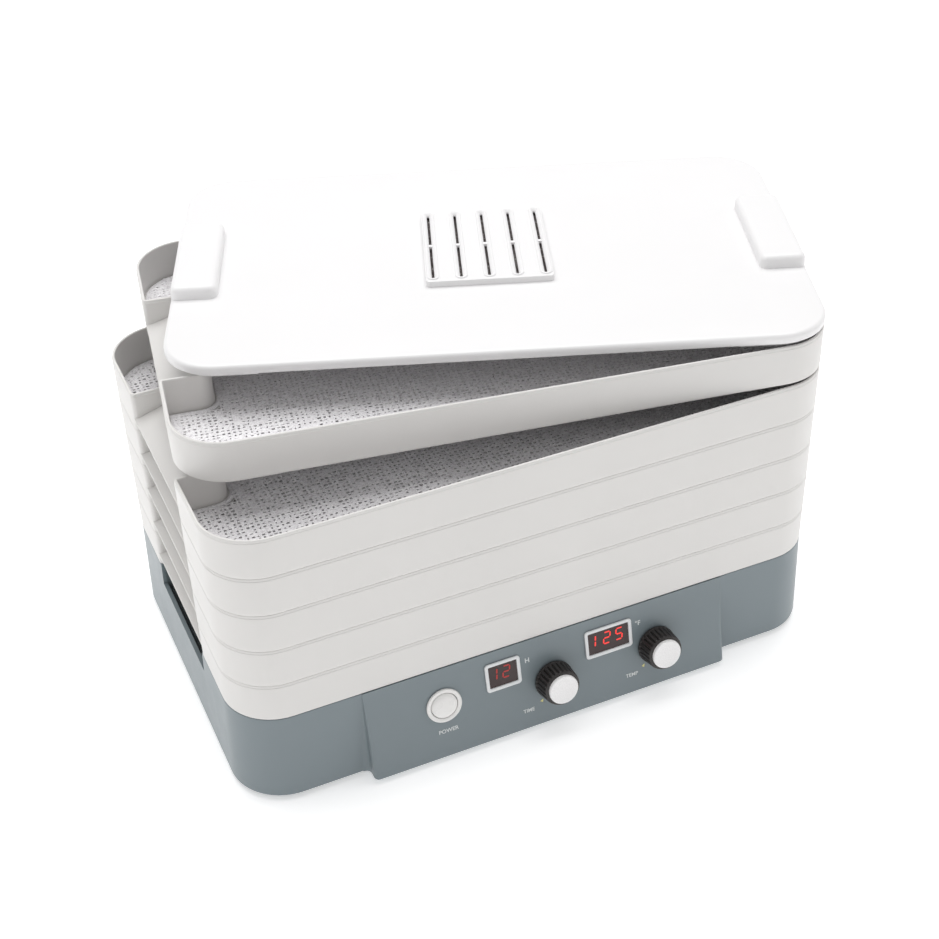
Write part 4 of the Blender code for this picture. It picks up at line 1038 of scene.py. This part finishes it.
def knob_grip():
    """The fluted, slightly tapered grip with its stem."""
    low = GAP + 0.0006
    profile = [  # radius, height and depth of the flutes
        (KNOB_R - 0.0006, low, 0.0),
        (KNOB_R, low + 0.0005, 0.0),
        (KNOB_R, low + 0.0016, 0.0),
        (KNOB_R - 0.0003, low + 0.0022, FLUTE_DEPTH),
        (KNOB_TOP_R + 0.0002, KNOB_H - 0.0016, FLUTE_DEPTH),
        (KNOB_TOP_R, KNOB_H - 0.0010, 0.0004),
        (KNOB_TOP_R - 0.0004, KNOB_H - 0.0003, 0.0),
        (KNOB_TOP_R - 0.0010, KNOB_H, 0.0),
        (CAP_R - 0.0004, KNOB_H, 0.0),
    ]
    stem = turned([(STEM_R, -0.0042), (STEM_R, 0.002)], TURN_STEPS // 2)
    return joined([loft([fluted_ring(*row) for row in profile]), stem])


def knob_cap():
    """The knob's white cap, with a raised rim."""
    foot, face = KNOB_H + GAP, KNOB_H + GAP + CAP_H
    return turned([
        (0, face - 0.0003), (CAP_R - 0.0022, face - 0.0003), (CAP_R - 0.0016, face - 0.0001),
        (CAP_R - 0.0010, face), (CAP_R - 0.0004, face - 0.0001), (CAP_R - 0.0001, face - 0.0005),
        (CAP_R, face - 0.0010), (CAP_R, foot), (0, foot),
    ])


def build_knob(label, spot):
    """A knob's grip and its white cap, which turn together."""
    at, body = FACE @ Matrix.Translation((*spot, 0)), f"{label}_knob"
    piece(f"{label}_knob_grip", knob_grip(), KNOB_BLACK, body, at, [f"{label}_knob"],
          sharp=40)
    piece(f"{label}_knob_disc", knob_cap(), CAP_WHITE, body, at, [f"{label}_knob_cap"],
          sharp=50)


def label_text(name, words, centre, height):
    """Small printed lettering, upright on the panel's face."""
    curve = bpy.data.curves.new(name, "FONT")
    curve.body = words
    curve.size = height * TYPE_SIZE
    curve.align_x = curve.align_y = "CENTER"
    curve.extrude = INK_T
    curve.offset = INK_SPREAD
    curve.resolution_u = 4
    ob = bpy.data.objects.new(name, curve)
    bpy.context.scene.collection.objects.link(ob)
    mesh = evaluated(ob)
    place = FACE @ Matrix.Translation((*centre, INK_LIFT))
    piece(name, mesh, INK_WHITE, "base", place, sharp=None)


def build_print():
    """The panel's generic labels, and the index mark by each knob."""
    for label in LABELS:
        label_text(*label)
    for name, spot, knob in INDEX_MARKS:
        toward = (Vector(knob) - Vector(spot)).normalized()
        across = Vector((-toward.y, toward.x)) * MARK_HALF
        back = toward * MARK_BACK
        outline = [toward * MARK_TIP, across - back, -across - back]
        piece(name, plate([outline], INK_T, 3 * INK_T), INK_YELLOW, "base",
              FACE @ Matrix.Translation((*spot, 0)), sharp=None)


def dress_cad_nodes():
    """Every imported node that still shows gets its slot's material and softened edges."""
    for subpart in frame["record"]["subparts"]:
        ob = frame["nodes"][subpart["node"]]
        if ob.hide_render:
            continue
        ob.data.materials.clear()
        ob.data.materials.append(SLOT_MATERIALS[subpart["material_slot"]])
        modifier = ob.modifiers.new("softened", "BEVEL")
        modifier.width = SOFT_EDGE
        modifier.segments = 2
        modifier.angle_limit = math.radians(SOFT_ANGLE)


# ---------------- studio
def build_floor():
    """A plain pale floor that glows softly."""
    mesh = block((-FLOOR_HALF, -FLOOR_HALF, -0.02), (FLOOR_HALF, FLOOR_HALF, 0))
    mat, tree, bsdf = shader("floor_white", (0.93, 0.93, 0.935), 0.6, Emission_Color=(1, 1, 1, 1),
                             Emission_Strength=FLOOR_GLOW)
    tint(tree, bsdf, noise(tree, scale=1.5, detail=2), (0.925, 0.925, 0.93), (0.94, 0.94, 0.942))
    mesh.materials.append(mat)
    floor = bpy.data.objects.new("floor", mesh)
    bpy.context.scene.collection.objects.link(floor)


def build_world():
    """White surroundings, brightest at the horizon."""
    world = bpy.data.worlds.new("studio")
    world.use_nodes = True
    tree = world.node_tree
    background = tree.nodes["Background"]
    background.inputs["Color"].default_value = (1, 1, 1, 1)
    height = tree.nodes.new("ShaderNodeSeparateXYZ")
    direction = tree.nodes.new("ShaderNodeTexCoord").outputs["Generated"]
    tree.links.new(direction, height.inputs["Vector"])
    strength = remap(tree, height.outputs["Z"], HORIZON_STRENGTH, WORLD_STRENGTH, end=HORIZON_BAND)
    tree.links.new(strength, background.inputs["Strength"])
    bpy.context.scene.world = world


def build_lights():
    """Large soft panels of light, turned to the object."""
    for name, size, energy, place in LIGHTS:
        light = bpy.data.lights.new(name, "AREA")
        light.shape = "RECTANGLE"
        light.size, light.size_y = size
        light.energy = energy
        ob = bpy.data.objects.new(name, light)
        ob.location = place
        aim = Vector(LIGHT_TARGET) - Vector(place)
        ob.rotation_euler = aim.to_track_quat("-Z", "Y").to_euler()
        bpy.context.scene.collection.objects.link(ob)


def build_camera():
    """The camera, in front of the stack's left front corner and looking down on it."""
    data = bpy.data.cameras.new("camera")
    data.lens, data.sensor_width = CAMERA_LENS, CAMERA_SENSOR
    camera = bpy.data.objects.new("camera", data)
    turn = (Matrix.Rotation(-math.radians(CAMERA_AZIMUTH), 4, "Z")
            @ Matrix.Rotation(math.radians(90 - CAMERA_DOWN), 4, "X")
            @ Matrix.Rotation(-math.radians(CAMERA_ROLL), 4, "Z"))
    camera.matrix_world = Matrix.Translation(STACK @ CAMERA_AT) @ turn
    bpy.context.scene.collection.objects.link(camera)
    bpy.context.scene.camera = camera


build_camera()
build_floor()
build_world()
build_lights()
build_trays()
build_lid()
build_base()
build_panel()
build_button()
build_display("time", TIME_DISPLAY_AT, TIME_FRAME, TIME_DIGITS, LED_DIM)
build_display("temp", TEMP_DISPLAY_AT, TEMP_FRAME, TEMP_DIGITS, LED_BRIGHT)
build_knob("time", TIME_KNOB_AT)
build_knob("temp", TEMP_KNOB_AT)
build_print()
dress_cad_nodes()
